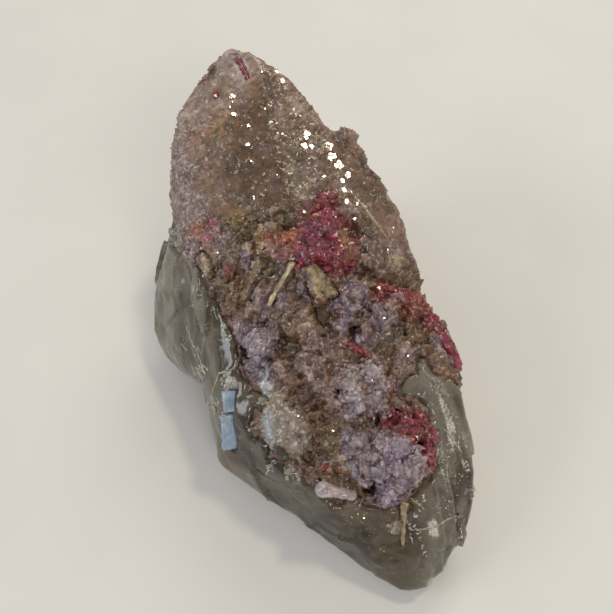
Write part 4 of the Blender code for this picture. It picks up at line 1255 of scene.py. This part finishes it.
def make_shards(tree):
    """Long low steps and flakes where the quartz has broken."""
    rng, build = np.random.default_rng(135), Build()
    for u, v, radius, count, size, length, first, last in SHARDS:
        places, up = scattered(tree, u, v, radius, count, rng)
        up = unit(up + 0.12 * rng.normal(size=up.shape))
        side = direction_between(first, last) + 0.16 * rng.normal(size=up.shape)
        side = unit(side - up * (side * up).sum(axis=1)[:, None])
        wide = size / length * (0.4 + 0.9 * rng.random(len(up)))
        sizes = np.stack([wide * length * (0.6 + 0.7 * rng.random(len(up))), wide, wide * 1.4], axis=1)
        colour = over(MINERALS["glass"], MINERALS["haze"], rng.random((len(up), 1)) ** 0.6)
        colour = varied(colour, rng.random((len(up), 3)), 0.3, 0.05)
        grown(build, PLATELETS, places, turns_of(up, side), sizes, colour, rng)
    build.finish("quartz_shards", shard_glass, "smoky_quartz")


def make_frost(tree):
    """Small pale flakes that lie in the broken skin of the quartz."""
    rng, build = np.random.default_rng(132), Build()
    for u, v, radius, count, size in FROST:
        places, up = scattered(tree, u, v, radius, count, rng)
        sizes = sizes_of(rng, len(up), size * 0.35, size * 1.4, (1, 0.5, 0.25), 1.6)
        colour = varied(plain("frost", len(up)), rng.random((len(up), 3)), 0.25, 0.04)
        grown(build, CHIPS, places, turned(up, 0.25, rng), sizes, colour, rng)
    build.finish("frost_flakes", frost_skin, "milky_quartz")


def make_edge_crystals(tree):
    """A few small pink crystals on the broken rim."""
    rng, build = np.random.default_rng(136), Build()
    places, up = scattered(tree, 470, 493, 5, 46, rng)
    sizes = sizes_of(rng, len(up), 0.3, 0.8)
    strewn(build, CHIPS, plain("lilac", len(up)), places, up, sizes, 0.8, 0.4, 0.2, rng, 0.3)
    build.finish("edge_crystals", lavender_mica, "lepidolite")


# ---- single plates and prisms

BAND_ENDS = ((22.1, -41.0, 24.9), (22.1, -47.8, 17.2))  # in mm, from its crystal end to its point

# Each feldspar plate: its two colours, how dusted it is and how far it stands out in mm.
PLATES = {
    "flake": (srgb(168, 149, 116), srgb(134, 116, 90), 0.55, 0.16),
    "long_blade": (srgb(200, 184, 150), srgb(170, 150, 116), 0.35, 0.25),
    "wedge": (srgb(150, 134, 104), srgb(124, 106, 82), 0.7, 0.1),
    "ridge": (srgb(150, 134, 104), srgb(124, 106, 82), 0.7, 0.1),
    "sliver": (srgb(160, 146, 130), srgb(130, 114, 98), 0.6, 0.08),
    "band": (srgb(186, 168, 136), srgb(160, 140, 106), 0.25, 0.0),
}


def tapered(points, ends, least):
    """The points drawn in towards the line between two ends in mm, to a share of their distance from it."""
    first, last = (np.array(end) * MM for end in ends)
    along = last - first
    part = np.clip((points - first) @ along / (along @ along), 0, 1)[:, None]
    axis = first + part * along
    return axis + (points - axis) * (1 - (1 - least) * part)


def make_plate(node, material, slot, colours, steps, dirt, seed, swell=0.05, grid=PLATE_GRID):
    """A cleaved plate or blade: stepped and chipped, and partly dusted by its neighbours."""
    mesh = remeshed(swollen_copy([node], swell), grid, 1)
    points, outward = surface_of(mesh)
    if node == "feldspar_band":
        points = tapered(points, BAND_ENDS, 0.4)
    chips, numbers = facets(points, 1.5, seed, 1.3, 0.1)
    rough = fractal(points, 1.6, seed + 1)
    points = points + outward * ((steps * (chips - 0.6) + steps * 0.7 * rough) * MM)[:, None]
    base = drifting(points, *colours, 2.0, seed + 2)
    stone = stained(crust_tint(points), points)
    base = over(base, stone, ramp(fractal(points, 1.4, seed + 3), -0.1, 0.3)[:, None] * dirt)
    build = Build()
    build.add(points, faces_of(mesh), varied(base, numbers, 0.16, 0.05))
    if dirt > 0.5:
        rng = np.random.default_rng(seed + 4)
        low = np.flatnonzero((outward[:, 2] < 0.55) & (distance_to(body_tree, points, 1.6) < 1.5))
        pick = rng.choice(low, min(len(low), 130), replace=False)
        sizes = sizes_of(rng, len(pick), 0.22, 0.75)
        strewn(build, CHIPS, stone[pick], points[pick], outward[pick], sizes, 1.0, 0.3, 0.15, rng, 0.4)
    build.finish(f"{node}_cleaved", material, slot, node)


def make_prism(node, seed):
    """A single gemmy prism, with grains of the crust on it."""
    mesh = remeshed(swollen_copy([node], 0.08), 0.25, 2)
    points, outward = surface_of(mesh)
    chips, numbers = facets(points, 1.3, seed + 1, 1.4, 0.1)
    relief = 0.35 * (chips - 0.6) + 0.15 * fractal(points, 0.9, seed)
    points = points + outward * (relief * MM)[:, None]
    base = drifting(points, MINERALS["red"] * 0.8, MINERALS["magenta"], 2.0, seed + 2)
    build = Build()
    build.add(points, faces_of(mesh), varied(base, numbers, 0.4, 0.06))
    rng = np.random.default_rng(seed + 3)
    pick = rng.choice(len(points), 70, replace=False)
    dusty = over(base[pick], crust_tint(points[pick]), 0.5 * rng.random((len(pick), 1)))
    sizes = sizes_of(rng, len(pick), 0.12, 0.42)
    strewn(build, CHIPS, dusty, points[pick], outward[pick], sizes, 1.0, 0.3, 0.1, rng, 0.4)
    build.finish(f"{node}_prism", rubellite, "tourmaline", node)


# ---- floor, light and camera


def make_floor():
    bm = bmesh.new()
    bmesh.ops.create_grid(bm, x_segments=2, y_segments=2, size=1.5)
    floor = new_piece("floor", mesh_of(bm, "floor"))
    material, tree, shader, _ = new_material("floor_paper")
    grey = mapped(tree, noise_at(tree, stretched_place(tree), 60.0), 0.3, 0.7, 0.97, 1.03)
    white = add_node(tree, "ShaderNodeCombineXYZ", {"X": 0.74, "Y": 0.73, "Z": 0.71}).outputs["Vector"]
    feed(tree, shader, {"Base Color": multiplied(tree, white, grey), "Roughness": 0.7})
    floor.data.materials.append(material)


def add_area(name, towards, distance, size, power, colour):
    light = bpy.data.lights.new(name, "AREA")
    light.shape, light.size = "DISK", size
    light.energy, light.color = power, colour
    lamp = new_piece(name, light)
    direction = Vector(towards).normalized()
    lamp.location = direction * distance + LIGHT_CENTRE
    lamp.rotation_euler = direction.to_track_quat("Z", "Y").to_euler()


def light_scene():
    add_area("ceiling_lamp", LAMP_TOWARDS, LAMP_DISTANCE, 0.15, 3.2, (1.0, 0.88, 0.66))
    add_area("far_box", (0.25, 0.8, 0.75), 1.3, 0.6, 3.8, (1.0, 0.93, 0.82))
    add_area("left_window", (-1.0, -0.25, 0.55), 1.2, 0.6, 3.8, (0.84, 0.92, 1.0))
    add_area("near_box", (0.45, -1.0, 0.75), 1.5, 0.6, 5.0, (1.0, 0.94, 0.86))
    world = bpy.data.worlds.new("room")
    world.use_nodes = True
    tree = world.node_tree
    feed(tree, tree.nodes["Background"], {"Color": (1.0, 0.98, 0.94, 1), "Strength": 0.42})
    bpy.context.scene.world = world
    bpy.context.scene.view_settings.view_transform = "Standard"


def add_camera():
    camera = bpy.data.cameras.new("camera")
    camera.sensor_width = SENSOR_MM
    camera.lens = FOCAL_PIXELS * SENSOR_MM / PICTURE_SIDE
    camera.clip_start, camera.clip_end = 0.01, 20
    thing = new_piece("camera", camera)
    thing.location = CAMERA_PLACE
    thing.rotation_euler = (math.pi / 2 - CAMERA_PITCH, 0, 0)
    bpy.context.scene.camera = thing


make_quartz()
make_sealed()
grains_of_crust = make_granular()
surface_tree = finished_tree()
for make in (make_cracks, make_shards, make_frost, make_edge_crystals):
    make(surface_tree)
make_glints(surface_tree, *grains_of_crust)
for number, (node, (light, shadow, dirt, swell)) in enumerate(PLATES.items(), start=110):
    make_plate(f"feldspar_{node}", cream_spar, "cream_feldspar", (light, shadow), 0.42, dirt, number, swell)
BLUE = (srgb(136, 158, 184), srgb(156, 174, 192))
make_plate("blue_blade_upper", blue_spar, "blue_feldspar", BLUE, 0.16, 0.0, 120)
make_plate("blue_blade_lower", blue_spar, "blue_feldspar", BLUE, 0.12, 0.0, 121)
FINGER = (srgb(196, 176, 178), srgb(222, 212, 216))
make_plate("lilac_finger", milky_glass, "lepidolite", FINGER, 0.06, 0.0, 94, grid=0.3)
for number, node in enumerate(PRISM_NODES, start=125):
    make_prism(node, number)
make_floor()
light_scene()
add_camera()
